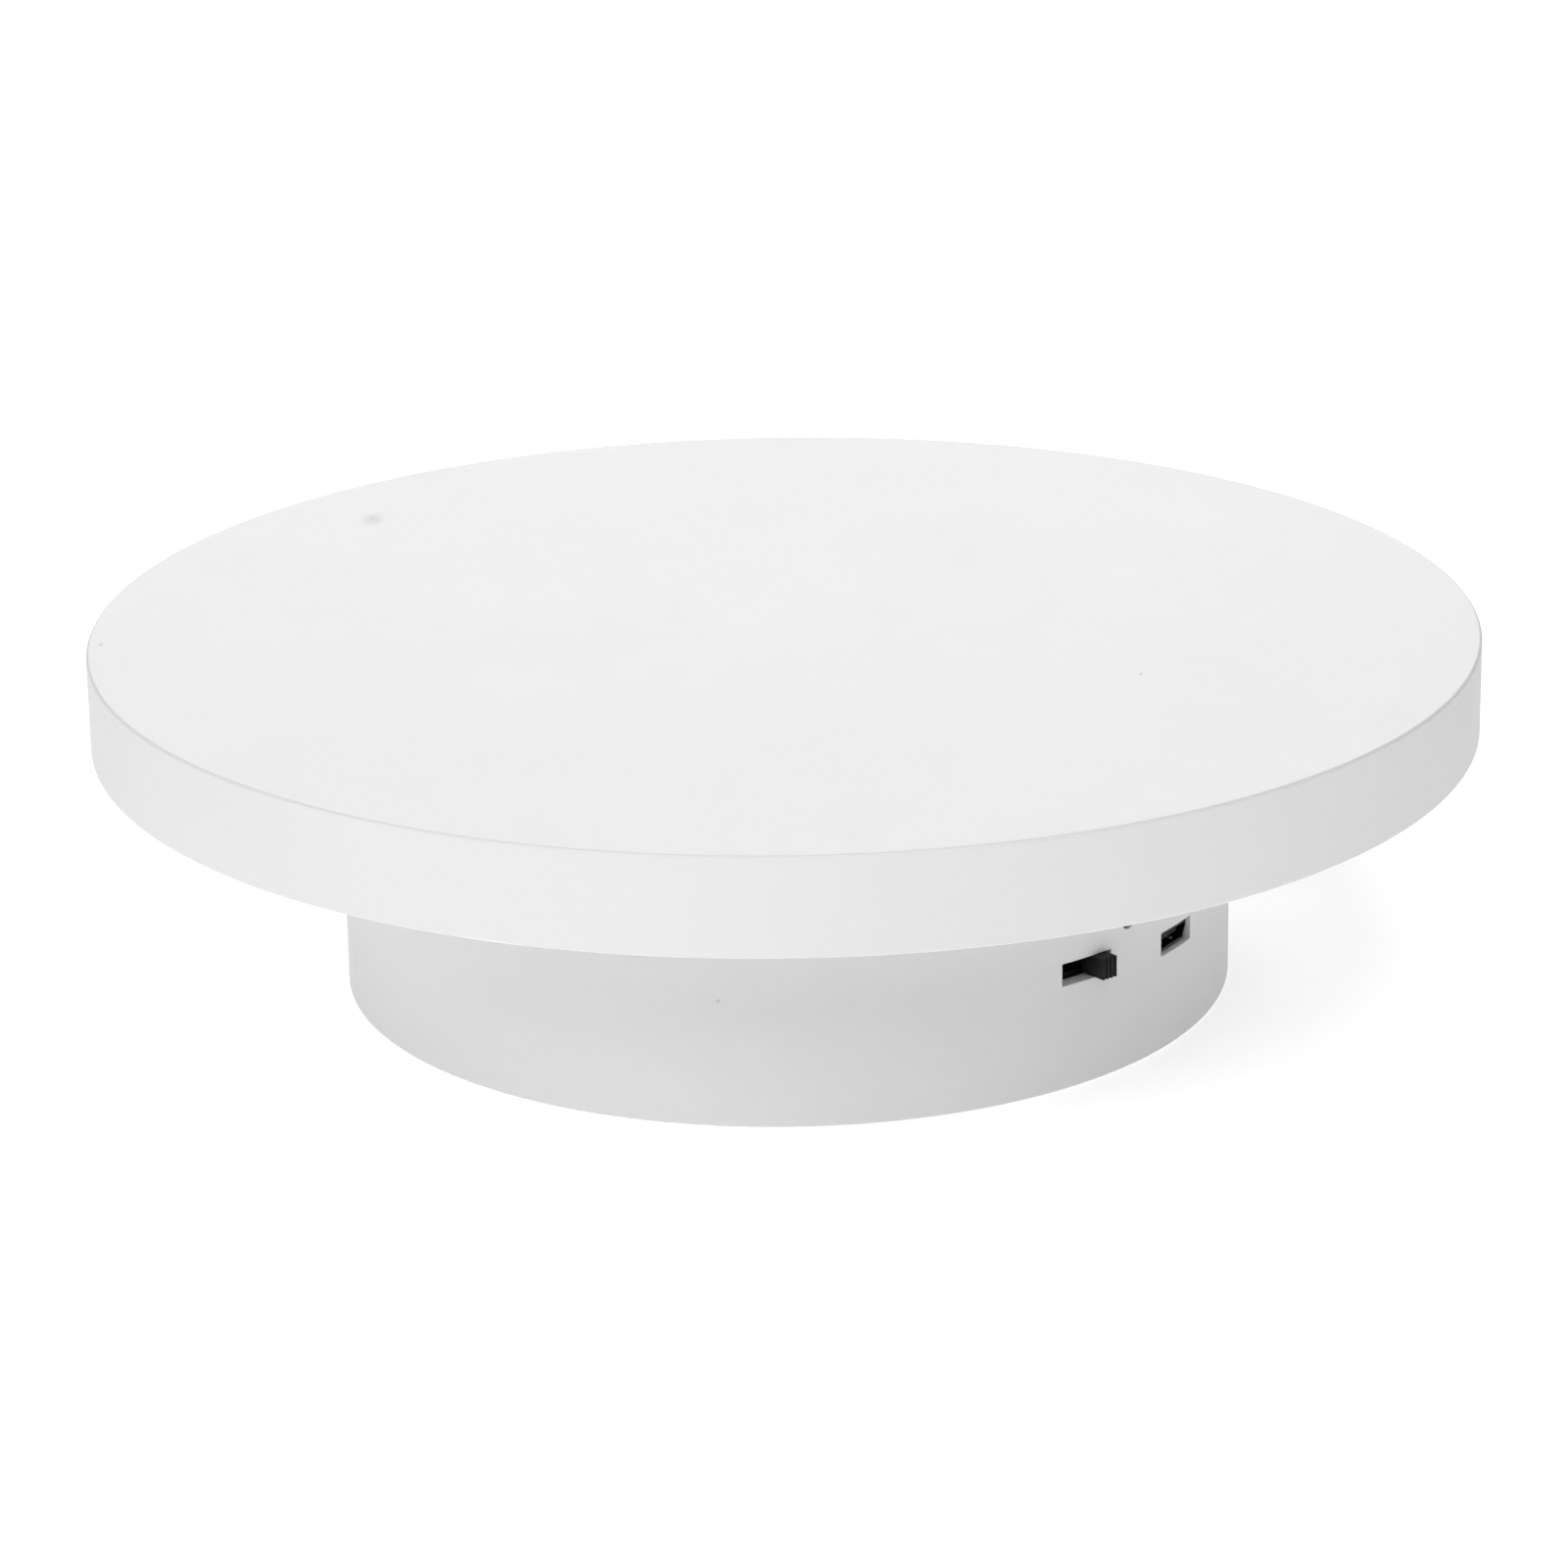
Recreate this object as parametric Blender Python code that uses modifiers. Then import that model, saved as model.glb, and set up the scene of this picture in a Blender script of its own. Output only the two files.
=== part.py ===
"""A motorised display turntable: a round platter on a ball race, over a round base that holds its drive.

Everything is built in metres with +Z up, standing on z = 0. An angle around the base is counted from
the front (-Y) towards +X. Lengths below are in millimetres and are scaled by MM as they are used.
"""

import math

import bmesh
import bpy
from mathutils import Matrix

MM = 0.001
GAP = 0.3  # between pieces that touch on the real object
OVERLAP = 0.6  # how far joined shapes run into each other

# Platter and base: the sizes that drive the rest
PLATTER_RADIUS = 100.0
PLATTER_HEIGHT = 14.05
PLATTER_PLATE = 3.0
PLATTER_WALL = 2.5
BASE_RADIUS = 64.44
BASE_WALL = 2.2
BASE_BOTTOM = 0.3
PLATTER_BOTTOM = BASE_BOTTOM + 38.06
PLATTER_TOP = PLATTER_BOTTOM + PLATTER_HEIGHT
PLATTER_UNDERSIDE = PLATTER_TOP - PLATTER_PLATE
DECK_TOP = PLATTER_BOTTOM + 1.94
DECK_THICKNESS = 2.4
DECK_UNDERSIDE = DECK_TOP - DECK_THICKNESS
BASE_INNER_RADIUS = BASE_RADIUS - BASE_WALL

# Ball race
BALL_COUNT = 8
BALL_RADIUS = 2.5
BALL_CIRCLE = 52.0
BALL_HEIGHT = DECK_TOP + 4.0
GROOVE_RADIUS = BALL_RADIUS + 0.35
RACE_HALF_WIDTH = 4.0
RACE_THICKNESS = 2.6
RACE_RECESS_DEPTH = 0.6
CAGE_THICKNESS = 1.4
CAGE_HALF_WIDTH = 3.5

# Centre bearing
POST_RADIUS = 4.0
POST_BOTTOM = 33.6
HUB_FLANGE_RADIUS = 10.0
HUB_FLANGE_THICKNESS = 1.6
HUB_SCREW_CIRCLE = 7.2
BUSHING_BORE = POST_RADIUS + 0.08
BUSHING_RADIUS = 6.7
BUSHING_BOTTOM = 34.6
CENTRE_BOSS_RADIUS = 11.0
CENTRE_BOSS_BOTTOM = 34.3

# Gear train: each stage turns four times as fast as the one before it
RING_TEETH = 48
DRIVE_TEETH = 12
RING_MODULE = 1.25
RING_OUTER_RADIUS = 37.0
RING_SCREW_CIRCLE = 34.4
WHEEL_TEETH = 32
PINION_TEETH = 8
FINE_MODULE = 0.6
DRIVE_DISTANCE = RING_MODULE * (RING_TEETH - DRIVE_TEETH) / 2
STAGE_DISTANCE = FINE_MODULE * (WHEEL_TEETH + PINION_TEETH) / 2
WHEEL_THICKNESS = 2.0
STAGE_STEP = 2.6
FIRST_WHEEL_BOTTOM = 22.6
AXLE_RADIUS = 1.0
AXLE_BORE = AXLE_RADIUS + 0.2

# Gearbox and motor
GEARBOX_FLOOR = 20.3
GEARBOX_RIM = 31.7
GEARBOX_TOP = 33.5
GEARBOX_WALL = 1.6
MOTOR_RADIUS = 12.2
MOTOR_HEIGHT = 12.1

# Board and the things that show through the wall
BOARD_TOP = 14.4
BOARD_THICKNESS = 1.5
SWITCH_ANGLE = 39.8
SWITCH_SLOT_HALF_LENGTH = 4.55
SWITCH_SLOT_LOW = 15.65
SWITCH_SLOT_HIGH = 18.95
SWITCH_TRAVEL = 4.8
KNOB_HALF_WIDTH = 1.28
KNOB_TIP = BASE_RADIUS + 2.05
SOCKET_ANGLE = 58.0
SOCKET_HALF_LENGTH = 4.35
SOCKET_LOW = 14.4
SOCKET_HIGH = 17.85
SOCKET_MOUTH = BASE_RADIUS - 0.8
LED_ANGLE = 47.1
LED_HEIGHT = 22.25
LED_HOLE_RADIUS = 1.3

# Fixings and feet
COVER_THICKNESS = 2.5
COVER_BOTTOM = BASE_BOTTOM + GAP
COVER_TOP = COVER_BOTTOM + COVER_THICKNESS
COVER_SCREW_CIRCLE = 56.0
COVER_SCREW_ANGLES = (0.0, 90.0, 180.0, 270.0)
FOOT_CIRCLE = 50.0
FOOT_ANGLES = (45.0, 135.0, 225.0, 315.0)
FOOT_RADIUS = 6.0
FOOT_POCKET = 1.0
COVER_BOSS_TOP = COVER_TOP + 2.2
HOUSING_BOSS_BOTTOM = COVER_BOSS_TOP + GAP
SCREW_POCKET_TOP = COVER_BOTTOM + 2.2
COVER_SCREW_TIP = 17.0
COVER_PILOT_TOP = 19.0
BOARD_PILOT_BOTTOM = 4.5
PILOT_RADIUS = 1.5
SHANK_RADIUS = 1.2
FINE_HOLE = 1.3
FINE_SHANK = 1.0

# Battery
CELL_RADIUS = 9.2
CELL_LENGTH = 65.0
CELL_X = -38.0
CELL_HEIGHT = 13.9

# A tooth's height and depth in modules, and half its width at root and tip as a share of its pitch
TIP_HEIGHT = 0.8
ROOT_DEPTH = 1.1
ROOT_SHARE = 0.33
TIP_SHARE = 0.1

# How finely round things are divided
FINE_SIDES = 72
MEDIUM_SIDES = 56
RACE_SIDES = 40
SMALL_SIDES = 24
SCREW_SIDES = 10

WHITE_ABS = ((0.86, 0.86, 0.85, 1.0), 0.42, 0.0)
INNER_ABS = ((0.72, 0.72, 0.71, 1.0), 0.5, 0.0)
BLACK_PLASTIC = ((0.02, 0.02, 0.022, 1.0), 0.45, 0.0)
RUBBER = ((0.05, 0.05, 0.052, 1.0), 0.85, 0.0)
STEEL = ((0.62, 0.62, 0.63, 1.0), 0.3, 1.0)
BRASS = ((0.72, 0.52, 0.24, 1.0), 0.32, 1.0)
ACETAL = ((0.9, 0.89, 0.86, 1.0), 0.35, 0.0)
BOARD_GREEN = ((0.03, 0.17, 0.08, 1.0), 0.4, 0.0)
CLEAR_LED = ((0.78, 0.8, 0.8, 1.0), 0.12, 0.0)
CELL_SLEEVE = ((0.05, 0.16, 0.36, 1.0), 0.35, 0.0)
RED_PVC = ((0.5, 0.02, 0.02, 1.0), 0.45, 0.0)
BLACK_PVC = ((0.015, 0.015, 0.016, 1.0), 0.45, 0.0)


# ---------------------------------------------------------------- scene and objects


def clear_scene():
    for obj in list(bpy.data.objects):
        bpy.data.objects.remove(obj, do_unlink=True)


def new_collection(name):
    collection = bpy.data.collections.new(name)
    bpy.context.scene.collection.children.link(collection)
    return collection


def material(name, finish):
    """A plain Principled material. finish is (colour, roughness, metallic)."""
    made = bpy.data.materials.new(name)
    made.use_nodes = True
    shader = made.node_tree.nodes["Principled BSDF"]
    shader.inputs["Base Color"].default_value = finish[0]
    shader.inputs["Roughness"].default_value = finish[1]
    shader.inputs["Metallic"].default_value = finish[2]
    return made


def new_axis(name):
    """An empty on the turntable's axis, which carries the pieces that turn together."""
    axis = bpy.data.objects.new(name, None)
    parts.objects.link(axis)
    return axis


def add_piece(obj, finish, centre=(0.0, 0.0, 0.0), turn=(0.0, 0.0, 0.0), axis=None):
    """Makes an object a piece of the turntable, with its own material and its origin at centre."""
    parts.objects.link(obj)
    obj.data.materials.append(material(obj.name, finish))
    obj.location = [value * MM for value in centre]
    obj.rotation_euler = turn
    obj.parent = axis
    return obj


def add_helper(obj, centre=(0.0, 0.0, 0.0), turn=(0.0, 0.0, 0.0)):
    """Keeps a shape that only joins or cuts another one."""
    helpers.objects.link(obj)
    obj.hide_render = True
    obj.display_type = "WIRE"
    obj.location = [value * MM for value in centre]
    obj.rotation_euler = turn
    return obj


def boolean(target, helper, operation):
    modifier = target.modifiers.new(operation.lower() + "_" + helper.name, "BOOLEAN")
    modifier.operation = operation
    modifier.solver = "EXACT"
    modifier.object = helper


def join(target, helper):
    boolean(target, helper, "UNION")


def cut(target, helper):
    boolean(target, helper, "DIFFERENCE")


def around(radius, angle):
    """The point at this radius and angle from the front, seen from above."""
    turn = math.radians(angle)
    return radius * math.sin(turn), -radius * math.cos(turn)


def facing(angle):
    """The turn of a shape made at the front, so that it faces out of the base at this angle."""
    return 0.0, 0.0, math.radians(angle)


def pointing(angle):
    """The turn of a shape made along +Z, so that it points out of the base at this angle."""
    return math.pi / 2, 0.0, math.radians(angle)


# ---------------------------------------------------------------- shapes


def mesh_object(name, shape):
    mesh = bpy.data.meshes.new(name)
    bmesh.ops.recalc_face_normals(shape, faces=shape.faces)
    shape.to_mesh(mesh)
    shape.free()
    return bpy.data.objects.new(name, mesh)


def add_cylinder(shape, radius, low, high, centre=(0.0, 0.0), sides=SMALL_SIDES):
    middle = Matrix.Translation([value * MM for value in (*centre, (low + high) / 2)])
    bmesh.ops.create_cone(
        shape,
        cap_ends=True,
        segments=sides,
        radius1=radius * MM,
        radius2=radius * MM,
        depth=(high - low) * MM,
        matrix=middle,
    )


def add_box(shape, low, high):
    """An upright box between two corners."""
    size = [(b - a) * MM for a, b in zip(low, high)]
    middle = [(a + b) / 2 * MM for a, b in zip(low, high)]
    bmesh.ops.create_cube(
        shape, size=1.0, matrix=Matrix.Translation(middle) @ Matrix.Diagonal((*size, 1.0))
    )


def add_prism(shape, outline, low, high):
    """An outline in the XY plane, extruded from low to high."""
    corners = [shape.verts.new((x * MM, y * MM, low * MM)) for x, y in outline]
    face = shape.faces.new(corners)
    raised = bmesh.ops.extrude_face_region(shape, geom=[face])["geom"]
    moved = [item for item in raised if isinstance(item, bmesh.types.BMVert)]
    bmesh.ops.translate(shape, verts=moved, vec=(0.0, 0.0, (high - low) * MM))


def cylinders(name, discs):
    """One object of separate cylinders, each (radius, low, high, centre) or with its sides too."""
    shape = bmesh.new()
    for disc in discs:
        add_cylinder(shape, *disc)
    return mesh_object(name, shape)


def boxes(name, corners):
    """One object of separate boxes, each (low corner, high corner)."""
    shape = bmesh.new()
    for low, high in corners:
        add_box(shape, low, high)
    return mesh_object(name, shape)


def prism(name, outline, low, high):
    shape = bmesh.new()
    add_prism(shape, outline, low, high)
    return mesh_object(name, shape)


def turned(name, profile, sides):
    """A profile of (radius, height), running down its outer side, turned about Z.

    A profile that starts and ends on the axis makes a solid of one skin. Any other is closed into a ring.
    """
    points = [(radius * MM, 0.0, height * MM) for radius, height in profile]
    edges = [(i, i + 1) for i in range(len(points) - 1)]
    if profile[0][0] > 0.0:
        edges.append((len(points) - 1, 0))
    mesh = bpy.data.meshes.new(name)
    mesh.from_pydata(points, edges, [])
    obj = bpy.data.objects.new(name, mesh)
    screw = obj.modifiers.new("turn", "SCREW")
    screw.axis = "Z"
    screw.angle = math.tau
    screw.steps = sides
    screw.render_steps = sides
    screw.use_merge_vertices = True
    screw.merge_threshold = 0.00001
    screw.use_smooth_shade = False
    return obj


def ring(name, inner, outer, low, high, sides):
    return turned(name, [(inner, high), (outer, high), (outer, low), (inner, low)], sides)


def arc(centre, radius, start, end, steps):
    """Points of an arc, with angles in degrees."""
    turns = [math.radians(start + (end - start) * i / steps) for i in range(steps + 1)]
    return [(centre[0] + radius * math.cos(a), centre[1] + radius * math.sin(a)) for a in turns]


def hull(points):
    """The convex outline around points, anticlockwise."""
    points = sorted(set(points))

    def half(ordered):
        chain = []
        for x, y in ordered:
            while len(chain) > 1:
                (ax, ay), (bx, by) = chain[-2], chain[-1]
                if (bx - ax) * (y - ay) - (by - ay) * (x - ax) > 1e-9:
                    break
                chain.pop()
            chain.append((x, y))
        return chain[:-1]

    return half(points) + half(points[::-1])


def toothed(teeth, module, phase, inward=False):
    """The outline of a gear. phase is the angle of a tooth's centre, in radians."""
    pitch_radius = teeth * module / 2
    out = -1.0 if inward else 1.0
    root = pitch_radius - out * ROOT_DEPTH * module
    tip = pitch_radius + out * TIP_HEIGHT * module
    outline = []
    for tooth in range(teeth):
        middle = phase + math.tau * tooth / teeth
        for radius, share in ((root, -ROOT_SHARE), (tip, -TIP_SHARE), (tip, TIP_SHARE), (root, ROOT_SHARE)):
            angle = middle + share * math.tau / teeth
            outline.append((radius * math.cos(angle), radius * math.sin(angle)))
    return outline


def screw_shape(head_radius, head_height, head_bottom, tip, shank=SHANK_RADIUS):
    """A screw's profile. Its head stands on head_bottom and its shank runs to tip, above or below."""
    if tip > head_bottom:
        under = head_bottom + head_height
        return [
            (0.0, tip),
            (shank, tip - shank / 2),
            (shank, under),
            (head_radius, under),
            (head_radius, head_bottom + head_height / 3),
            (head_radius * 0.8, head_bottom),
            (0.0, head_bottom),
        ]
    return [
        (0.0, head_bottom + head_height),
        (head_radius * 0.8, head_bottom + head_height),
        (head_radius, head_bottom + head_height * 2 / 3),
        (head_radius, head_bottom),
        (shank, head_bottom),
        (shank, tip + shank / 2),
        (0.0, tip),
    ]


# ---------------------------------------------------------------- gear positions and phases


def step_from(point, distance, direction):
    turn = math.radians(direction)
    return point[0] + distance * math.cos(turn), point[1] + distance * math.sin(turn)


def phase_on_ring(direction):
    """The phase of the drive pinion inside the ring gear, whose own phase is 0."""
    turn = math.radians(direction)
    return turn - math.tau / DRIVE_TEETH * (0.5 + RING_TEETH * turn / math.tau)


def phase_beside(teeth, phase, other_teeth, direction):
    """The phase of a gear that meshes with one of this many teeth and phase, in this direction from it."""
    turn = math.radians(direction)
    return turn + math.pi - math.tau / other_teeth * (0.5 - teeth * (turn - phase) / math.tau)


DRIVE_DIRECTION = 90.0
TRAIN_DIRECTIONS = (20.0, -20.0, 20.0)
OUTPUT_CENTRE = step_from((0.0, 0.0), DRIVE_DISTANCE, DRIVE_DIRECTION)
SECOND_CENTRE = step_from(OUTPUT_CENTRE, STAGE_DISTANCE, TRAIN_DIRECTIONS[0])
FIRST_CENTRE = step_from(SECOND_CENTRE, STAGE_DISTANCE, TRAIN_DIRECTIONS[1])
MOTOR_CENTRE = step_from(FIRST_CENTRE, STAGE_DISTANCE, TRAIN_DIRECTIONS[2])
SECOND_WHEEL_BOTTOM = FIRST_WHEEL_BOTTOM + STAGE_STEP
OUTPUT_WHEEL_BOTTOM = SECOND_WHEEL_BOTTOM + STAGE_STEP
GEARBOX_EARS = ((-14.5, 31.0), (39.5, 12.0))
HUB_SCREWS = [around(HUB_SCREW_CIRCLE, angle) for angle in (60.0, 180.0, 300.0)]
RING_SCREW_START = 2.5 * 360.0 / RING_TEETH
RING_SCREWS = [around(RING_SCREW_CIRCLE, RING_SCREW_START + angle) for angle in (0.0, 120.0, 240.0)]
BOARD_SCREWS = [around(46.5, angle) for angle in (33.0, 66.0)]


# ---------------------------------------------------------------- base


def base_housing():
    top_edge = 0.8
    foot_edge = 0.4
    half_race = RACE_HALF_WIDTH + 2 * GAP
    shell = turned(
        "base_housing",
        [
            (POST_RADIUS, DECK_TOP),
            (BALL_CIRCLE - half_race, DECK_TOP),
            (BALL_CIRCLE - half_race, DECK_TOP - RACE_RECESS_DEPTH),
            (BALL_CIRCLE + half_race, DECK_TOP - RACE_RECESS_DEPTH),
            (BALL_CIRCLE + half_race, DECK_TOP),
            (BASE_RADIUS - top_edge, DECK_TOP),
            (BASE_RADIUS, DECK_TOP - top_edge),
            (BASE_RADIUS, BASE_BOTTOM + foot_edge),
            (BASE_RADIUS - foot_edge, BASE_BOTTOM),
            (BASE_INNER_RADIUS, BASE_BOTTOM),
            (BASE_INNER_RADIUS, DECK_UNDERSIDE),
            (POST_RADIUS, DECK_UNDERSIDE),
        ],
        MEDIUM_SIDES,
    )
    add_piece(shell, WHITE_ABS)
    inside = DECK_UNDERSIDE + OVERLAP
    bosses = [(CENTRE_BOSS_RADIUS, CENTRE_BOSS_BOTTOM, inside, (0.0, 0.0))]
    for angle in COVER_SCREW_ANGLES:
        bosses.append((3.6, HOUSING_BOSS_BOTTOM, inside, around(COVER_SCREW_CIRCLE, angle), 12))
    for ear in GEARBOX_EARS:
        bosses.append((3.4, GEARBOX_TOP + GAP, inside, ear, 12))
    join(shell, add_helper(cylinders("housing_bosses", bosses)))
    cut(shell, add_helper(cylinders("housing_bores", housing_bores())))
    near, far = 3.0 - BASE_INNER_RADIUS, -3.0 - BASE_RADIUS
    half = SWITCH_SLOT_HALF_LENGTH
    slot = boxes("switch_slot", [((-half, far, SWITCH_SLOT_LOW), (half, near, SWITCH_SLOT_HIGH))])
    cut(shell, add_helper(slot, turn=facing(SWITCH_ANGLE)))
    half = SOCKET_HALF_LENGTH
    window = boxes("socket_window", [((-half, far, SOCKET_LOW), (half, near, SOCKET_HIGH))])
    cut(shell, add_helper(window, turn=facing(SOCKET_ANGLE)))
    hole = cylinders("led_hole", [(LED_HOLE_RADIUS, -near, -far, (0.0, 0.0), 16)])
    cut(shell, add_helper(hole, (0.0, 0.0, LED_HEIGHT), pointing(LED_ANGLE)))


def housing_bores():
    through = DECK_TOP + 1.0
    bores = [
        (BUSHING_RADIUS + GAP, CENTRE_BOSS_BOTTOM - 1.0, through, (0.0, 0.0)),
        (9.0, DECK_UNDERSIDE - 1.0, through, OUTPUT_CENTRE),
    ]
    low = HOUSING_BOSS_BOTTOM - 1.0
    for angle in COVER_SCREW_ANGLES:
        bores.append((PILOT_RADIUS, low, COVER_PILOT_TOP, around(COVER_SCREW_CIRCLE, angle), SCREW_SIDES))
    for ear in GEARBOX_EARS:
        bores.append((PILOT_RADIUS, GEARBOX_TOP - 1.0, DECK_TOP - 1.2, ear, SCREW_SIDES))
    return bores


def bottom_cover():
    edge = 0.5
    radius = BASE_INNER_RADIUS - 2 * GAP
    plate = turned(
        "bottom_cover",
        [
            (0.0, COVER_TOP),
            (radius, COVER_TOP),
            (radius, COVER_BOTTOM + edge),
            (radius - edge, COVER_BOTTOM),
            (0.0, COVER_BOTTOM),
        ],
        MEDIUM_SIDES,
    )
    add_piece(plate, WHITE_ABS)
    screws = [around(COVER_SCREW_CIRCLE, angle) for angle in COVER_SCREW_ANGLES]
    feet = [around(FOOT_CIRCLE, angle) for angle in FOOT_ANGLES]
    inside = COVER_TOP - OVERLAP
    raised = [(4.5, inside, COVER_BOSS_TOP, centre, 12) for centre in screws]
    raised += [(3.0, inside, BOARD_TOP - BOARD_THICKNESS - GAP, centre, 12) for centre in BOARD_SCREWS]
    join(plate, add_helper(cylinders("cover_bosses", raised)))
    below = COVER_BOTTOM - 1.0
    sunk = [(FOOT_RADIUS + GAP, below, COVER_BOTTOM + FOOT_POCKET, centre, 16) for centre in feet]
    sunk += [(3.0, below, SCREW_POCKET_TOP, centre, 12) for centre in screws]
    cut(plate, add_helper(cylinders("cover_pockets", sunk)))
    through = [(PILOT_RADIUS, below, COVER_BOSS_TOP + 1.0, centre, SCREW_SIDES) for centre in screws]
    through += [(PILOT_RADIUS, BOARD_PILOT_BOTTOM, BOARD_TOP, centre, SCREW_SIDES) for centre in BOARD_SCREWS]
    cut(plate, add_helper(cylinders("cover_holes", through)))


def fixings():
    for number, angle in enumerate(COVER_SCREW_ANGLES, 1):
        head = 1.4
        profile = screw_shape(2.6, head, SCREW_POCKET_TOP - GAP - head, COVER_SCREW_TIP)
        screw = turned(f"cover_screw_{number}", profile, SCREW_SIDES)
        add_piece(screw, STEEL, (*around(COVER_SCREW_CIRCLE, angle), 0.0))
    for number, angle in enumerate(FOOT_ANGLES, 1):
        edge = 0.4
        top = COVER_BOTTOM + FOOT_POCKET - GAP
        profile = [(0.0, top), (FOOT_RADIUS, top), (FOOT_RADIUS, edge), (FOOT_RADIUS - edge, 0.0), (0.0, 0.0)]
        foot = turned(f"rubber_foot_{number}", profile, 16)
        add_piece(foot, RUBBER, (*around(FOOT_CIRCLE, angle), 0.0))
    for number, centre in enumerate(BOARD_SCREWS, 1):
        profile = screw_shape(2.4, 1.3, BOARD_TOP + GAP, BOARD_PILOT_BOTTOM + 1.5)
        add_piece(turned(f"board_screw_{number}", profile, SCREW_SIDES), STEEL, (*centre, 0.0))
    for number, ear in enumerate(GEARBOX_EARS, 1):
        profile = screw_shape(2.5, 1.5, GEARBOX_FLOOR - GAP - 1.5, DECK_TOP - 2.0)
        add_piece(turned(f"gearbox_screw_{number}", profile, SCREW_SIDES), STEEL, (*ear, 0.0))


# ---------------------------------------------------------------- ball race and centre bearing


def race_profile(face, back):
    """A flat ring with a groove for the balls in its face, which may be its top or its underside."""
    inner, outer = BALL_CIRCLE - RACE_HALF_WIDTH, BALL_CIRCLE + RACE_HALF_WIDTH
    reach = math.degrees(math.asin(abs(face - BALL_HEIGHT) / GROOVE_RADIUS))
    centre = (BALL_CIRCLE, BALL_HEIGHT)
    if face < BALL_HEIGHT:
        groove = arc(centre, GROOVE_RADIUS, 180.0 + reach, 360.0 - reach, 4)
        return [(inner, face), *groove, (outer, face), (outer, back), (inner, back)]
    groove = arc(centre, GROOVE_RADIUS, reach, 180.0 - reach, 4)
    return [(inner, back), (outer, back), (outer, face), *groove, (inner, face)]


def ball_race():
    bottom = DECK_TOP - RACE_RECESS_DEPTH + GAP
    lower = turned("lower_race", race_profile(bottom + RACE_THICKNESS, bottom), RACE_SIDES)
    add_piece(lower, STEEL)
    top = PLATTER_UNDERSIDE - GAP
    upper = turned("upper_race", race_profile(2 * BALL_HEIGHT - bottom - RACE_THICKNESS, top), RACE_SIDES)
    add_piece(upper, STEEL, axis=platter_axis)
    low, high = BALL_HEIGHT - CAGE_THICKNESS / 2, BALL_HEIGHT + CAGE_THICKNESS / 2
    inner, outer = BALL_CIRCLE - CAGE_HALF_WIDTH, BALL_CIRCLE + CAGE_HALF_WIDTH
    cage = add_piece(ring("ball_cage", inner, outer, low, high, 40), BLACK_PLASTIC, axis=cage_axis)
    places = [around(BALL_CIRCLE, 360.0 * i / BALL_COUNT) for i in range(BALL_COUNT)]
    holes = [(BALL_RADIUS + GAP, low - 1.0, high + 1.0, place, 12) for place in places]
    cut(cage, add_helper(cylinders("cage_holes", holes)))
    for number, place in enumerate(places, 1):
        shape = bmesh.new()
        bmesh.ops.create_uvsphere(shape, u_segments=12, v_segments=6, radius=BALL_RADIUS * MM)
        add_piece(mesh_object(f"race_ball_{number}", shape), STEEL, (*place, BALL_HEIGHT), axis=cage_axis)


def centre_bearing():
    flange = 1.2
    bushing = turned(
        "centre_bushing",
        [
            (BUSHING_BORE, DECK_TOP + GAP + flange),
            (9.5, DECK_TOP + GAP + flange),
            (9.5, DECK_TOP + GAP),
            (BUSHING_RADIUS, DECK_TOP + GAP),
            (BUSHING_RADIUS, BUSHING_BOTTOM),
            (BUSHING_BORE, BUSHING_BOTTOM),
        ],
        28,
    )
    add_piece(bushing, BRASS)
    flange_top = PLATTER_UNDERSIDE - GAP
    flange_bottom = flange_top - HUB_FLANGE_THICKNESS
    hub = turned(
        "platter_hub",
        [
            (0.0, flange_top),
            (HUB_FLANGE_RADIUS, flange_top),
            (HUB_FLANGE_RADIUS, flange_bottom),
            (POST_RADIUS, flange_bottom),
            (POST_RADIUS, POST_BOTTOM),
            (PILOT_RADIUS, POST_BOTTOM),
            (PILOT_RADIUS, POST_BOTTOM + 9.0),
            (0.0, POST_BOTTOM + 9.0),
        ],
        28,
    )
    add_piece(hub, STEEL, axis=platter_axis)
    low, high = flange_bottom - 1.0, flange_top + 1.0
    holes = [(FINE_HOLE, low, high, place, SCREW_SIDES) for place in HUB_SCREWS]
    cut(hub, add_helper(cylinders("hub_holes", holes)))
    for number, place in enumerate(HUB_SCREWS, 1):
        head = 1.3
        profile = screw_shape(2.0, head, flange_bottom - GAP - head, PLATTER_TOP - 1.4, FINE_SHANK)
        screw = turned(f"hub_screw_{number}", profile, SCREW_SIDES)
        add_piece(screw, STEEL, (*place, 0.0), axis=platter_axis)
    washer = ring("retaining_washer", PILOT_RADIUS + GAP, 6.5, POST_BOTTOM - 1.3, POST_BOTTOM - GAP, 20)
    add_piece(washer, STEEL, axis=platter_axis)
    profile = screw_shape(3.2, 1.7, POST_BOTTOM - 3.3, POST_BOTTOM + 8.0)
    add_piece(turned("retaining_screw", profile, 12), STEEL, axis=platter_axis)


# ---------------------------------------------------------------- platter


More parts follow.
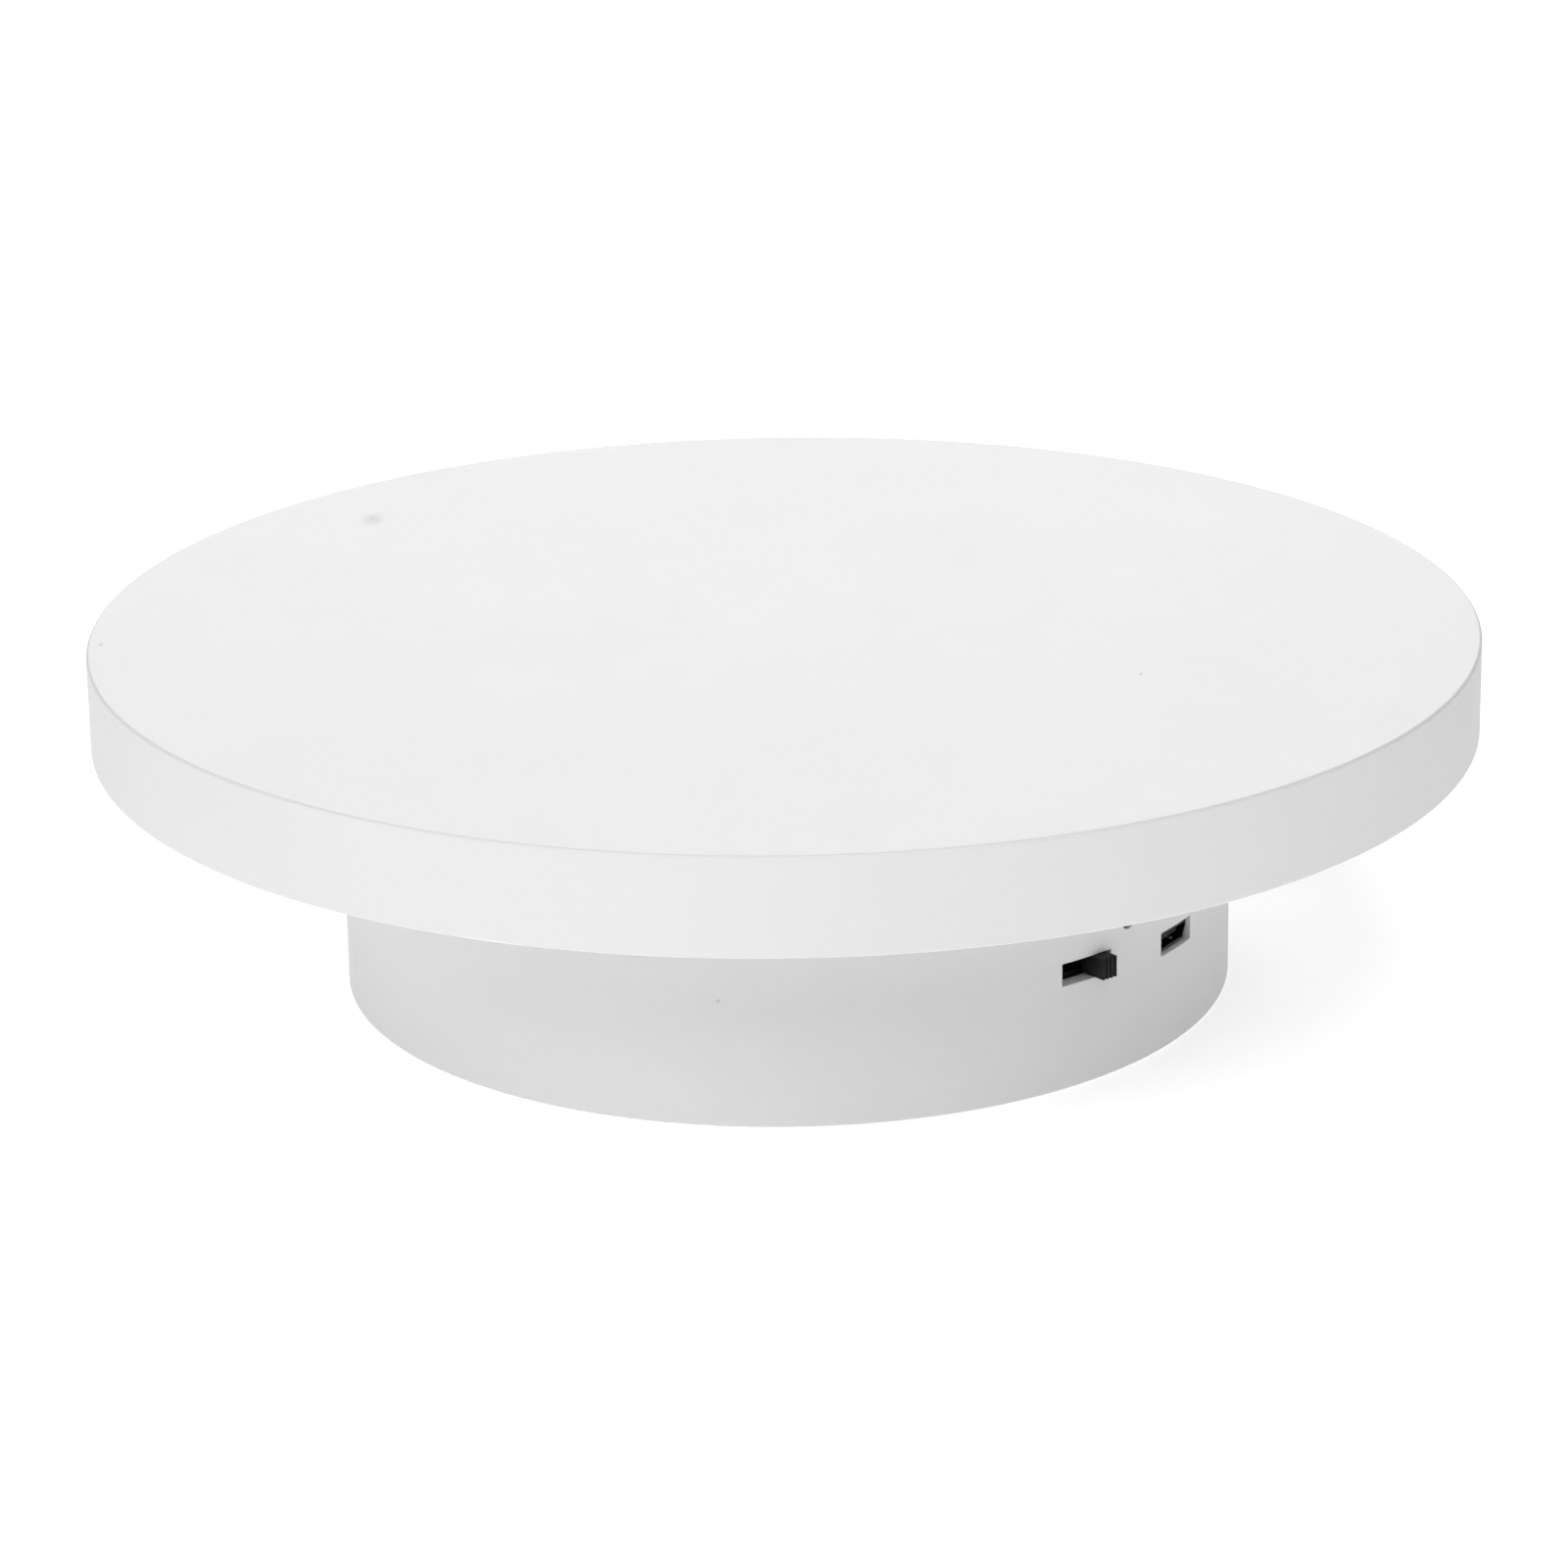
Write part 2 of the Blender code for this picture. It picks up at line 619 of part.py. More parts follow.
def platter():
    top_edge = 0.45
    low_edge = 0.35
    inner = PLATTER_RADIUS - PLATTER_WALL
    rib = BALL_CIRCLE + RACE_HALF_WIDTH + 2 * GAP
    rib_bottom = PLATTER_UNDERSIDE - 1.5
    dish = turned(
        "platter",
        [
            (0.0, PLATTER_TOP),
            (PLATTER_RADIUS - top_edge, PLATTER_TOP),
            (PLATTER_RADIUS - top_edge * 0.29, PLATTER_TOP - top_edge * 0.29),
            (PLATTER_RADIUS, PLATTER_TOP - top_edge),
            (PLATTER_RADIUS, PLATTER_BOTTOM + low_edge),
            (PLATTER_RADIUS - low_edge, PLATTER_BOTTOM),
            (inner, PLATTER_BOTTOM),
            (inner, PLATTER_UNDERSIDE - 0.8),
            (inner - 0.8, PLATTER_UNDERSIDE),
            (rib + 1.2, PLATTER_UNDERSIDE),
            (rib + 1.2, rib_bottom),
            (rib, rib_bottom),
            (rib, PLATTER_UNDERSIDE),
            (0.0, PLATTER_UNDERSIDE),
        ],
        FINE_SIDES,
    )
    add_piece(dish, WHITE_ABS, axis=platter_axis)
    low, high = PLATTER_UNDERSIDE - 1.0, PLATTER_TOP - 1.0
    holes = [(FINE_HOLE, low, high, place, SCREW_SIDES) for place in HUB_SCREWS + RING_SCREWS]
    cut(dish, add_helper(cylinders("platter_holes", holes)))


def ring_gear():
    low = DECK_TOP + 2.6
    high = PLATTER_UNDERSIDE - GAP
    tooth_turn = 360.0 / RING_TEETH
    outline = arc((0.0, 0.0), RING_OUTER_RADIUS, 0.0, 360.0 - tooth_turn, RING_TEETH - 1)
    gear = add_piece(prism("ring_gear", outline, low, high), ACETAL, axis=platter_axis)
    teeth = toothed(RING_TEETH, RING_MODULE, 0.0, inward=True)
    cut(gear, add_helper(prism("ring_teeth", teeth, low - 1.0, high + 1.0)))
    holes = [(FINE_HOLE, low - 1.0, high + 1.0, place, SCREW_SIDES) for place in RING_SCREWS]
    cut(gear, add_helper(cylinders("ring_holes", holes)))
    sunk = [(2.2, low - 1.0, low + 1.8, place, 12) for place in RING_SCREWS]
    cut(gear, add_helper(cylinders("ring_counterbores", sunk)))
    for number, place in enumerate(RING_SCREWS, 1):
        profile = screw_shape(1.9, 1.2, low + GAP, PLATTER_TOP - 1.4, FINE_SHANK)
        screw = turned(f"ring_gear_screw_{number}", profile, SCREW_SIDES)
        add_piece(screw, STEEL, (*place, 0.0), axis=platter_axis)


# ---------------------------------------------------------------- gearbox and motor


def gear_train():
    """The output gear, the two compound gears and the motor's pinion, each about its own axis and in mesh."""
    drive_phase = phase_on_ring(DRIVE_DIRECTION)
    wheel = toothed(WHEEL_TEETH, FINE_MODULE, 0.0)
    output = prism("output_gear", wheel, OUTPUT_WHEEL_BOTTOM, OUTPUT_WHEEL_BOTTOM + WHEEL_THICKNESS)
    add_piece(output, ACETAL, (*OUTPUT_CENTRE, 0.0))
    pinion_bottom = DECK_TOP + 3.0
    shaft = [
        (0.0, pinion_bottom + OVERLAP),
        (3.0, pinion_bottom + OVERLAP),
        (3.0, OUTPUT_WHEEL_BOTTOM + WHEEL_THICKNESS - OVERLAP),
        (1.5, OUTPUT_WHEEL_BOTTOM + WHEEL_THICKNESS - OVERLAP),
        (1.5, GEARBOX_FLOOR + 0.9),
        (0.0, GEARBOX_FLOOR + 0.9),
    ]
    join(output, add_helper(turned("output_shaft", shaft, 16), (*OUTPUT_CENTRE, 0.0)))
    drive = toothed(DRIVE_TEETH, RING_MODULE, drive_phase)
    drive_pinion = prism("drive_pinion", drive, pinion_bottom, pinion_bottom + 5.4)
    join(output, add_helper(drive_pinion, (*OUTPUT_CENTRE, 0.0)))
    phase = phase_beside(WHEEL_TEETH, 0.0, PINION_TEETH, TRAIN_DIRECTIONS[0])
    compound_gear("reduction_gear_2", SECOND_CENTRE, SECOND_WHEEL_BOTTOM, phase)
    phase = phase_beside(WHEEL_TEETH, 0.0, PINION_TEETH, TRAIN_DIRECTIONS[1])
    compound_gear("reduction_gear_1", FIRST_CENTRE, FIRST_WHEEL_BOTTOM, phase)
    phase = phase_beside(WHEEL_TEETH, 0.0, PINION_TEETH, TRAIN_DIRECTIONS[2])
    teeth = toothed(PINION_TEETH, FINE_MODULE, phase)
    pinion = prism("motor_pinion", teeth, FIRST_WHEEL_BOTTOM - 0.3, FIRST_WHEEL_BOTTOM + WHEEL_THICKNESS + 0.3)
    add_piece(pinion, BRASS, (*MOTOR_CENTRE, 0.0))
    low = GEARBOX_FLOOR - 10.0
    rotor = cylinders("motor_shaft", [(AXLE_RADIUS, low, FIRST_WHEEL_BOTTOM + 3.2, (0.0, 0.0), 12)])
    join(pinion, add_helper(rotor, (*MOTOR_CENTRE, 0.0)))


def compound_gear(name, centre, bottom, pinion_phase):
    """A wheel with a pinion on top of it, free to turn on an axle."""
    top = bottom + STAGE_STEP + WHEEL_THICKNESS + 0.2
    gear = prism(name, toothed(WHEEL_TEETH, FINE_MODULE, 0.0), bottom, bottom + WHEEL_THICKNESS)
    add_piece(gear, ACETAL, (*centre, 0.0))
    teeth = toothed(PINION_TEETH, FINE_MODULE, pinion_phase)
    pinion = prism(name + "_pinion", teeth, bottom + WHEEL_THICKNESS - OVERLAP, top)
    join(gear, add_helper(pinion, (*centre, 0.0)))
    bore = cylinders(name + "_bore", [(AXLE_BORE, bottom - 1.0, top + 1.0, (0.0, 0.0), 12)])
    cut(gear, add_helper(bore, (*centre, 0.0)))


def gearbox_outline(inset):
    circles = [
        (OUTPUT_CENTRE, 12.4),
        (SECOND_CENTRE, 12.4),
        (FIRST_CENTRE, 12.4),
        (MOTOR_CENTRE, 8.0),
        (GEARBOX_EARS[0], 4.2),
        (GEARBOX_EARS[1], 4.2),
    ]
    points = []
    for centre, radius in circles:
        points += arc(centre, radius - inset, 0.0, 345.0, 23)
    return hull(points)


def gearbox():
    housing = prism("gearbox_housing", gearbox_outline(0.0), GEARBOX_FLOOR, GEARBOX_RIM)
    add_piece(housing, INNER_ABS)
    floor = GEARBOX_FLOOR + GEARBOX_WALL
    room = prism("gearbox_room", gearbox_outline(GEARBOX_WALL), floor, GEARBOX_RIM + 1.0)
    cut(housing, add_helper(room))
    columns = [(3.0, floor - OVERLAP, GEARBOX_RIM, ear, 12) for ear in GEARBOX_EARS]
    join(housing, add_helper(cylinders("gearbox_columns", columns)))
    below = GEARBOX_FLOOR - 1.0
    holes = [(PILOT_RADIUS, below, GEARBOX_RIM + 1.0, ear, SCREW_SIDES) for ear in GEARBOX_EARS]
    holes += [(3.3, below, floor + 1.0, MOTOR_CENTRE, 16), (1.7, GEARBOX_FLOOR + 0.6, floor + 1.0, OUTPUT_CENTRE, 12)]
    holes += [(AXLE_BORE, GEARBOX_FLOOR + 0.6, floor + 1.0, centre, 12) for centre in (FIRST_CENTRE, SECOND_CENTRE)]
    cut(housing, add_helper(cylinders("gearbox_holes", holes)))
    lid_bottom = GEARBOX_RIM + GAP
    lid = add_piece(prism("gearbox_cover", gearbox_outline(0.0), lid_bottom, GEARBOX_TOP), INNER_ABS)
    low, high = lid_bottom - 1.0, GEARBOX_TOP + 1.0
    holes = [(PILOT_RADIUS, low, high, ear, SCREW_SIDES) for ear in GEARBOX_EARS]
    holes.append((3.15, low, high, OUTPUT_CENTRE, 20))
    holes += [(AXLE_BORE, low, GEARBOX_TOP - 0.5, centre, 12) for centre in (FIRST_CENTRE, SECOND_CENTRE)]
    cut(lid, add_helper(cylinders("lid_holes", holes)))
    for number, centre in enumerate((FIRST_CENTRE, SECOND_CENTRE), 1):
        disc = (AXLE_RADIUS, GEARBOX_FLOOR + 0.9, GEARBOX_TOP - 0.8, (0.0, 0.0), 12)
        add_piece(cylinders(f"gear_axle_{number}", [disc]), STEEL, (*centre, 0.0))


def motor():
    edge = 0.6
    top = GEARBOX_FLOOR - GAP
    bottom = top - MOTOR_HEIGHT
    can = turned(
        "motor_can",
        [
            (AXLE_RADIUS + GAP, top + 1.2),
            (3.0, top + 1.2),
            (3.0, top),
            (MOTOR_RADIUS - edge, top),
            (MOTOR_RADIUS, top - edge),
            (MOTOR_RADIUS, bottom),
            (AXLE_RADIUS + GAP, bottom),
        ],
        SMALL_SIDES,
    )
    add_piece(can, STEEL, (*MOTOR_CENTRE, 0.0))
    x, y = MOTOR_CENTRE
    cap = cylinders("motor_end_cap", [(MOTOR_RADIUS - 0.8, bottom - GAP - 1.2, bottom - GAP, (0.0, 0.0))])
    add_piece(cap, BLACK_PLASTIC, (x, y, 0.0))
    tab_low, tab_high = bottom - GAP - 3.0, bottom - GAP - 1.2 + OVERLAP
    tabs = [((-6.0, -6.6, tab_low), (-3.4, -5.9, tab_high)), ((3.4, -6.6, tab_low), (6.0, -5.9, tab_high))]
    join(cap, add_helper(boxes("motor_tabs", tabs), (x, y, 0.0)))


# ---------------------------------------------------------------- board and controls

BOARD_ANGLES = (29.0, 69.0)
BOARD_RADIUS = BASE_INNER_RADIUS - 0.9


def control_board():
    start, end = BOARD_ANGLES
    outline = [around(BOARD_RADIUS, start + (end - start) * i / 12) for i in range(13)]
    outline += [around(42.0, 70.0), around(40.0, 49.0), around(42.0, 28.0)]
    board = prism("control_board", outline, BOARD_TOP - BOARD_THICKNESS, BOARD_TOP)
    add_piece(board, BOARD_GREEN)
    low, high = BOARD_TOP - BOARD_THICKNESS - 1.0, BOARD_TOP + 1.0
    holes = [(PILOT_RADIUS, low, high, centre, SCREW_SIDES) for centre in BOARD_SCREWS]
    cut(board, add_helper(cylinders("board_holes", holes)))


def slide_switch():
    """The switch's body on the board, with the slider pocket in its front."""
    front = BASE_INNER_RADIUS - 0.55
    low = BOARD_TOP + GAP
    middle = (SWITCH_SLOT_LOW + SWITCH_SLOT_HIGH) / 2
    body = boxes("slide_switch_body", [((-5.2, -front, low), (5.2, -front + 4.6, low + 4.8))])
    add_piece(body, BLACK_PLASTIC, turn=facing(SWITCH_ANGLE))
    pocket = [((-3.8, -front - 1.0, middle - 1.0), (3.8, -front + 2.6, middle + 1.0))]
    cut(body, add_helper(boxes("slider_pocket", pocket), turn=facing(SWITCH_ANGLE)))


def switch_knob():
    """The ribbed knob and the slider behind it, at the right-hand end of the slot."""
    inner = BASE_INNER_RADIUS - 0.25
    middle = (SWITCH_SLOT_LOW + SWITCH_SLOT_HIGH) / 2
    half_height = (SWITCH_SLOT_HIGH - SWITCH_SLOT_LOW) / 2 - 0.12
    rib_depth = 0.3
    ribs = 4
    face = KNOB_TIP - rib_depth
    outline = [(KNOB_HALF_WIDTH, -inner), (-KNOB_HALF_WIDTH, -inner)]
    width = 2 * KNOB_HALF_WIDTH / (2 * ribs - 1)
    for rib in range(ribs):
        left = -KNOB_HALF_WIDTH + 2 * rib * width
        outline += [(left, -face), (left, -KNOB_TIP), (left + width, -KNOB_TIP), (left + width, -face)]
    centre_radius = (inner + KNOB_TIP) / 2
    knob = prism("switch_knob", [(x, y + centre_radius) for x, y in outline], -half_height, half_height)
    x, y = around(centre_radius, SWITCH_ANGLE)
    turn = math.radians(SWITCH_ANGLE)
    slide = SWITCH_TRAVEL / 2
    place = (x + slide * math.cos(turn), y + slide * math.sin(turn), middle)
    add_piece(knob, BLACK_PLASTIC, place, facing(SWITCH_ANGLE))
    back = centre_radius - inner
    slider = boxes("knob_slider", [((-0.9, back - OVERLAP, -0.8), (0.9, back + 2.4, 0.8))])
    join(knob, add_helper(slider, place, facing(SWITCH_ANGLE)))


def usb_socket():
    """The socket's metal shell, open at its mouth, and the moulded tongue inside it."""
    low = BOARD_TOP + GAP
    high = low + 2.6
    half = 4.1
    back = SOCKET_MOUTH - 5.4
    sheet = 0.35
    outline = socket_outline(half, low, high, 0.9, 1.7)
    shell = prism("usb_socket_shell", outline, back, SOCKET_MOUTH)
    add_piece(shell, STEEL, turn=pointing(SOCKET_ANGLE))
    outline = socket_outline(half - sheet, low + sheet, high - sheet, 0.8, 1.5)
    hollow = prism("socket_hollow", outline, back - 1.0, SOCKET_MOUTH + 1.0)
    cut(shell, add_helper(hollow, turn=pointing(SOCKET_ANGLE)))
    middle = (low + high) / 2
    insert = [((-2.8, -back - 1.6, middle - 0.65), (2.8, -back, middle + 0.65))]
    tongue = add_piece(boxes("usb_tongue", insert), BLACK_PLASTIC, turn=facing(SOCKET_ANGLE))
    blade = [((-2.4, 0.6 - SOCKET_MOUTH, middle - 0.1), (2.4, OVERLAP - back - 1.6, middle + 0.45))]
    join(tongue, add_helper(boxes("tongue_blade", blade), turn=facing(SOCKET_ANGLE)))


def socket_outline(half, low, high, in_by, up_by):
    """The shape of the socket's mouth: a rectangle with its two lower corners cut off at a steep slant."""
    bottom = [(in_by - half, low), (half - in_by, low)]
    top = [(half, low + up_by), (half, high), (-half, high), (-half, low + up_by)]
    return bottom + top


def led_indicator():
    """A round LED whose low lens fills its hole, held up off the board by its two legs."""
    tip = BASE_RADIUS - 0.25
    bottom = tip - 4.6
    dome = [(0.0, tip), (0.8, tip - 0.1), (1.2, tip - 0.4), (1.2, tip - 3.0)]
    flange = [(1.7, tip - 3.0), (1.7, bottom), (0.0, bottom)]
    lamp = turned("led_indicator", dome + flange, 12)
    add_piece(lamp, CLEAR_LED, (0.0, 0.0, LED_HEIGHT), pointing(LED_ANGLE))
    legs = []
    for x in (-0.9, 0.9):
        legs.append(((x - 0.25, -bottom - 0.6, BOARD_TOP + GAP), (x + 0.25, -bottom - 0.1, LED_HEIGHT)))
    join(lamp, add_helper(boxes("led_legs", legs), turn=facing(LED_ANGLE)))


# ---------------------------------------------------------------- battery and leads


def battery():
    half = CELL_LENGTH / 2
    edge = 1.0
    cell = turned(
        "battery_cell",
        [
            (0.0, half + 1.2),
            (3.0, half + 1.2),
            (3.0, half),
            (CELL_RADIUS - edge, half),
            (CELL_RADIUS, half - edge),
            (CELL_RADIUS, edge - half),
            (CELL_RADIUS - edge, -half),
            (0.0, -half),
        ],
        SMALL_SIDES,
    )
    add_piece(cell, CELL_SLEEVE, (CELL_X, 0.0, CELL_HEIGHT), pointing(0.0))
    wide = CELL_RADIUS + 1.6
    cradle_half = half - 6.0
    bed = ((CELL_X - wide, -cradle_half, COVER_TOP + GAP), (CELL_X + wide, cradle_half, CELL_HEIGHT - 2.0))
    cradle = add_piece(boxes("battery_cradle", [bed]), INNER_ABS)
    trough = cylinders("cradle_trough", [(CELL_RADIUS + GAP, -half, half, (0.0, 0.0), SMALL_SIDES)])
    cut(cradle, add_helper(trough, (CELL_X, 0.0, CELL_HEIGHT), pointing(0.0)))


def lead(name, points, finish):
    """An insulated wire through points, closed at both ends."""
    curve = bpy.data.curves.new(name, "CURVE")
    curve.dimensions = "3D"
    curve.bevel_depth = 0.6 * MM
    curve.bevel_resolution = 0
    curve.use_fill_caps = True
    curve.resolution_u = 3
    spline = curve.splines.new("BEZIER")
    spline.bezier_points.add(len(points) - 1)
    for knot, point in zip(spline.bezier_points, points):
        knot.co = [value * MM for value in point]
        knot.handle_left_type = "AUTO"
        knot.handle_right_type = "AUTO"
    add_piece(bpy.data.objects.new(name, curve), finish)


def onto_board(angle):
    """The last points of a lead, which climbs past the board's inner edge and bends down onto its top."""
    climb = (*around(37.6, angle), BOARD_TOP - 6.0)
    crest = (*around(41.6, angle), BOARD_TOP + 3.4)
    pad = (*around(45.0, angle), BOARD_TOP + 1.0)
    return [climb, crest, pad]


def leads():
    x, y = MOTOR_CENTRE
    floor = COVER_TOP + 1.4
    tab = GEARBOX_FLOOR - MOTOR_HEIGHT - 2.2
    for number, side, angle, colour in ((1, -1.0, 54.0, RED_PVC), (2, 1.0, 59.0, BLACK_PVC)):
        start = (x + side * 4.7, y - 7.7, tab)
        along = [(x + side * 3.0, y - 14.0, floor), (36.0 + side * 1.6, -8.0, floor)]
        lead(f"motor_lead_{number}", [start, *along, *onto_board(angle)], colour)
    ends = CELL_LENGTH / 2 + 2.2
    front = [(CELL_X, -ends, CELL_HEIGHT), (-32.0, -40.0, 7.5), (-18.0, -42.0, floor), (8.0, -37.0, floor)]
    lead("battery_lead_1", front + onto_board(41.0), RED_PVC)
    back = [(CELL_X, ends, CELL_HEIGHT), (-30.0, 39.0, 7.5), (-21.0, 26.0, floor), (-16.0, 0.0, floor)]
    lead("battery_lead_2", [*back, (4.0, -22.0, floor), *onto_board(47.0)], BLACK_PVC)


clear_scene()
parts = new_collection("display_turntable")
helpers = new_collection("cutters")
helpers.hide_render = True
platter_axis = new_axis("platter_axis")
cage_axis = new_axis("cage_axis")
base_housing()
bottom_cover()
fixings()
ball_race()
centre_bearing()
platter()
ring_gear()
gearbox()
gear_train()
motor()
control_board()
slide_switch()
switch_knob()
usb_socket()
led_indicator()
battery()
leads()
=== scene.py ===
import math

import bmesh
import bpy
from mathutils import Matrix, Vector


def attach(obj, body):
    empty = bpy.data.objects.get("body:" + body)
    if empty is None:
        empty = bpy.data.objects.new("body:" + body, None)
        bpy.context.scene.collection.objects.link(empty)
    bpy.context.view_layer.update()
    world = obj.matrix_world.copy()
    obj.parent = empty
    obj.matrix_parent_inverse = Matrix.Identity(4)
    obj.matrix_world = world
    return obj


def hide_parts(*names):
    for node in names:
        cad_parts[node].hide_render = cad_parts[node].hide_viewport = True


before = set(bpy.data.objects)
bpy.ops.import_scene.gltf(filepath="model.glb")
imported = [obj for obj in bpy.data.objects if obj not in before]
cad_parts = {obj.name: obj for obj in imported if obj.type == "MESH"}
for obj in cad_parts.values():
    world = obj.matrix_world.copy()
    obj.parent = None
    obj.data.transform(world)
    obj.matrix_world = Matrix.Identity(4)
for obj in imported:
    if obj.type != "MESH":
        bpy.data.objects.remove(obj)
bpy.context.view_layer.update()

# The finished look of a motorised display turntable: a wide white platter over a round white base with a
# slide switch, a charging socket and a small lamp in its wall, and the drive inside it. Finely rounded
# meshes stand for the CAD solids, each with a procedural material.
# Metres with +Z up. Lengths are in millimetres and are scaled by MM as they are used.
# An angle around the base is counted from the front (-Y) towards +X.

MM = 0.001
GAP = 0.3

# Platter and base
PLATTER_RADIUS = 100.0
PLATTER_INNER_RADIUS = 97.5
BASE_RADIUS = 64.44
BASE_INNER_RADIUS = 62.24
BASE_BOTTOM = 0.3
PLATTER_BOTTOM = BASE_BOTTOM + 38.06
PLATTER_TOP = PLATTER_BOTTOM + 14.05
PLATTER_UNDERSIDE = PLATTER_TOP - 3.0
DECK_TOP = PLATTER_BOTTOM + 1.94
DECK_UNDERSIDE = DECK_TOP - 2.4

# Ball race and centre bearing
BALL_COUNT = 8
BALL_RADIUS = 2.5
BALL_CIRCLE = 52.0
BALL_HEIGHT = DECK_TOP + 4.0
GROOVE_RADIUS = BALL_RADIUS + 0.35
RACE_HALF_WIDTH = 4.0
RACE_BOTTOM = DECK_TOP - 0.3
RACE_THICKNESS = 2.6
CAGE_HALF_WIDTH = 3.5
CAGE_HALF_THICKNESS = 0.7
POST_RADIUS = 4.0
POST_BOTTOM = 33.6
HUB_FLANGE_RADIUS = 10.0
HUB_FLANGE_TOP = PLATTER_UNDERSIDE - GAP
HUB_FLANGE_BOTTOM = HUB_FLANGE_TOP - 1.6
BUSHING_BORE = POST_RADIUS + 0.08
BUSHING_RADIUS = 6.7
BUSHING_FLANGE = 9.5
BUSHING_BOTTOM = 34.6
CENTRE_BOSS_BOTTOM = 34.3

# Gear train
RING_TEETH = 48
DRIVE_TEETH = 12
RING_MODULE = 1.25
RING_OUTER_RADIUS = 37.0
RING_BOTTOM = DECK_TOP + 2.6
WHEEL_TEETH = 32
PINION_TEETH = 8
FINE_MODULE = 0.6
WHEEL_THICKNESS = 2.0
STAGE_STEP = 2.6
FIRST_WHEEL_BOTTOM = 22.6
AXLE_RADIUS = 1.0
AXLE_HOLE = AXLE_RADIUS + 0.2
TIP_HEIGHT = 0.8
ROOT_DEPTH = 1.1
GEARBOX_FLOOR = 20.3
GEARBOX_RIM = 31.7
GEARBOX_TOP = 33.5
GEARBOX_WALL = 1.6
MOTOR_RADIUS = 12.2
MOTOR_TOP = GEARBOX_FLOOR - GAP
MOTOR_BOTTOM = MOTOR_TOP - 12.1
MOTOR_TAB = 4.7

# Board, controls and the openings for them
BOARD_TOP = 14.4
BOARD_BOTTOM = BOARD_TOP - 1.5
SWITCH_ANGLE = 39.8
SWITCH_SLOT_HALF_LENGTH = 4.55
SWITCH_SLOT_LOW = 15.65
SWITCH_SLOT_HIGH = 18.95
SWITCH_HEIGHT = (SWITCH_SLOT_LOW + SWITCH_SLOT_HIGH) / 2
SWITCH_TRAVEL = 4.8
KNOB_HALF_WIDTH = 1.28
KNOB_TIP = BASE_RADIUS + 2.05
SOCKET_ANGLE = 58.0
SOCKET_HALF_LENGTH = 4.35
SOCKET_LOW = 14.4
SOCKET_HIGH = 17.85
SOCKET_MOUTH = BASE_RADIUS - 0.8
LED_ANGLE = 47.1
LED_HEIGHT = 22.25
LED_HOLE_RADIUS = 1.3

# Cover, feet, screws and battery
COVER_BOTTOM = 0.6
COVER_TOP = 3.1
COVER_BOSS_TOP = COVER_TOP + 2.2
FOOT_POCKET_TOP = COVER_BOTTOM + 1.0
SCREW_POCKET_TOP = COVER_BOTTOM + 2.2
COVER_SCREW_ANGLES = (0.0, 90.0, 180.0, 270.0)
COVER_SCREW_CIRCLE = 56.0
HUB_SCREW_CIRCLE = 7.2
RING_SCREW_CIRCLE = 34.4
BOARD_SCREW_CIRCLE = 46.5
FOOT_ANGLES = (45.0, 135.0, 225.0, 315.0)
FOOT_CIRCLE = 50.0
FOOT_RADIUS = 6.0
PILOT_RADIUS = 1.5
FINE_HOLE = 1.3
CELL_RADIUS = 9.2
CELL_HALF_LENGTH = 32.5
CELL_X = -38.0
CELL_HEIGHT = 13.9

# How finely round things are divided
WIDE_SIDES = 288
RACE_SIDES = 160
CAN_SIDES = 96
SMALL_SIDES = 48
TINY_SIDES = 24
CREASE = 32.0

FINE = "fine_"


# ---- places


def around(radius, angle):
    """The point at this radius and angle from the front, seen from above."""
    turn = math.radians(angle)
    return radius * math.sin(turn), -radius * math.cos(turn)


def step_from(point, distance, direction):
    turn = math.radians(direction)
    return point[0] + distance * math.cos(turn), point[1] + distance * math.sin(turn)


def at(x, y, z=0.0):
    return Matrix.Translation((x * MM, y * MM, z * MM))


def facing(angle):
    """Turns a shape made at the front, so that it faces out of the base at this angle."""
    return Matrix.Rotation(math.radians(angle), 4, "Z")


def pointing(angle):
    """Turns a shape made along +Z, so that it points out of the base at this angle."""
    return facing(angle) @ Matrix.Rotation(math.pi / 2, 4, "X")


AXIS = (0.0, 0.0)
UPSIDE_DOWN = Matrix.Rotation(math.pi, 4, "X")
RIGHT_AT_REST = Matrix.Identity(4)

DRIVE_DIRECTION = 90.0
TRAIN_DIRECTIONS = (20.0, -20.0, 20.0)
DRIVE_DISTANCE = RING_MODULE * (RING_TEETH - DRIVE_TEETH) / 2
STAGE_DISTANCE = FINE_MODULE * (WHEEL_TEETH + PINION_TEETH) / 2
OUTPUT_CENTRE = step_from(AXIS, DRIVE_DISTANCE, DRIVE_DIRECTION)
SECOND_CENTRE = step_from(OUTPUT_CENTRE, STAGE_DISTANCE, TRAIN_DIRECTIONS[0])
FIRST_CENTRE = step_from(SECOND_CENTRE, STAGE_DISTANCE, TRAIN_DIRECTIONS[1])
MOTOR_CENTRE = step_from(FIRST_CENTRE, STAGE_DISTANCE, TRAIN_DIRECTIONS[2])
SECOND_WHEEL_BOTTOM = FIRST_WHEEL_BOTTOM + STAGE_STEP
OUTPUT_WHEEL_BOTTOM = SECOND_WHEEL_BOTTOM + STAGE_STEP
GEARBOX_EARS = ((-14.5, 31.0), (39.5, 12.0))
COVER_SCREWS = [around(COVER_SCREW_CIRCLE, angle) for angle in COVER_SCREW_ANGLES]
FEET = [around(FOOT_CIRCLE, angle) for angle in FOOT_ANGLES]
HUB_SCREWS = [around(HUB_SCREW_CIRCLE, angle) for angle in (60.0, 180.0, 300.0)]
RING_SCREW_ANGLE = 2.5 * 360.0 / RING_TEETH
RING_SCREWS = [around(RING_SCREW_CIRCLE, RING_SCREW_ANGLE + angle) for angle in (0.0, 120.0, 240.0)]
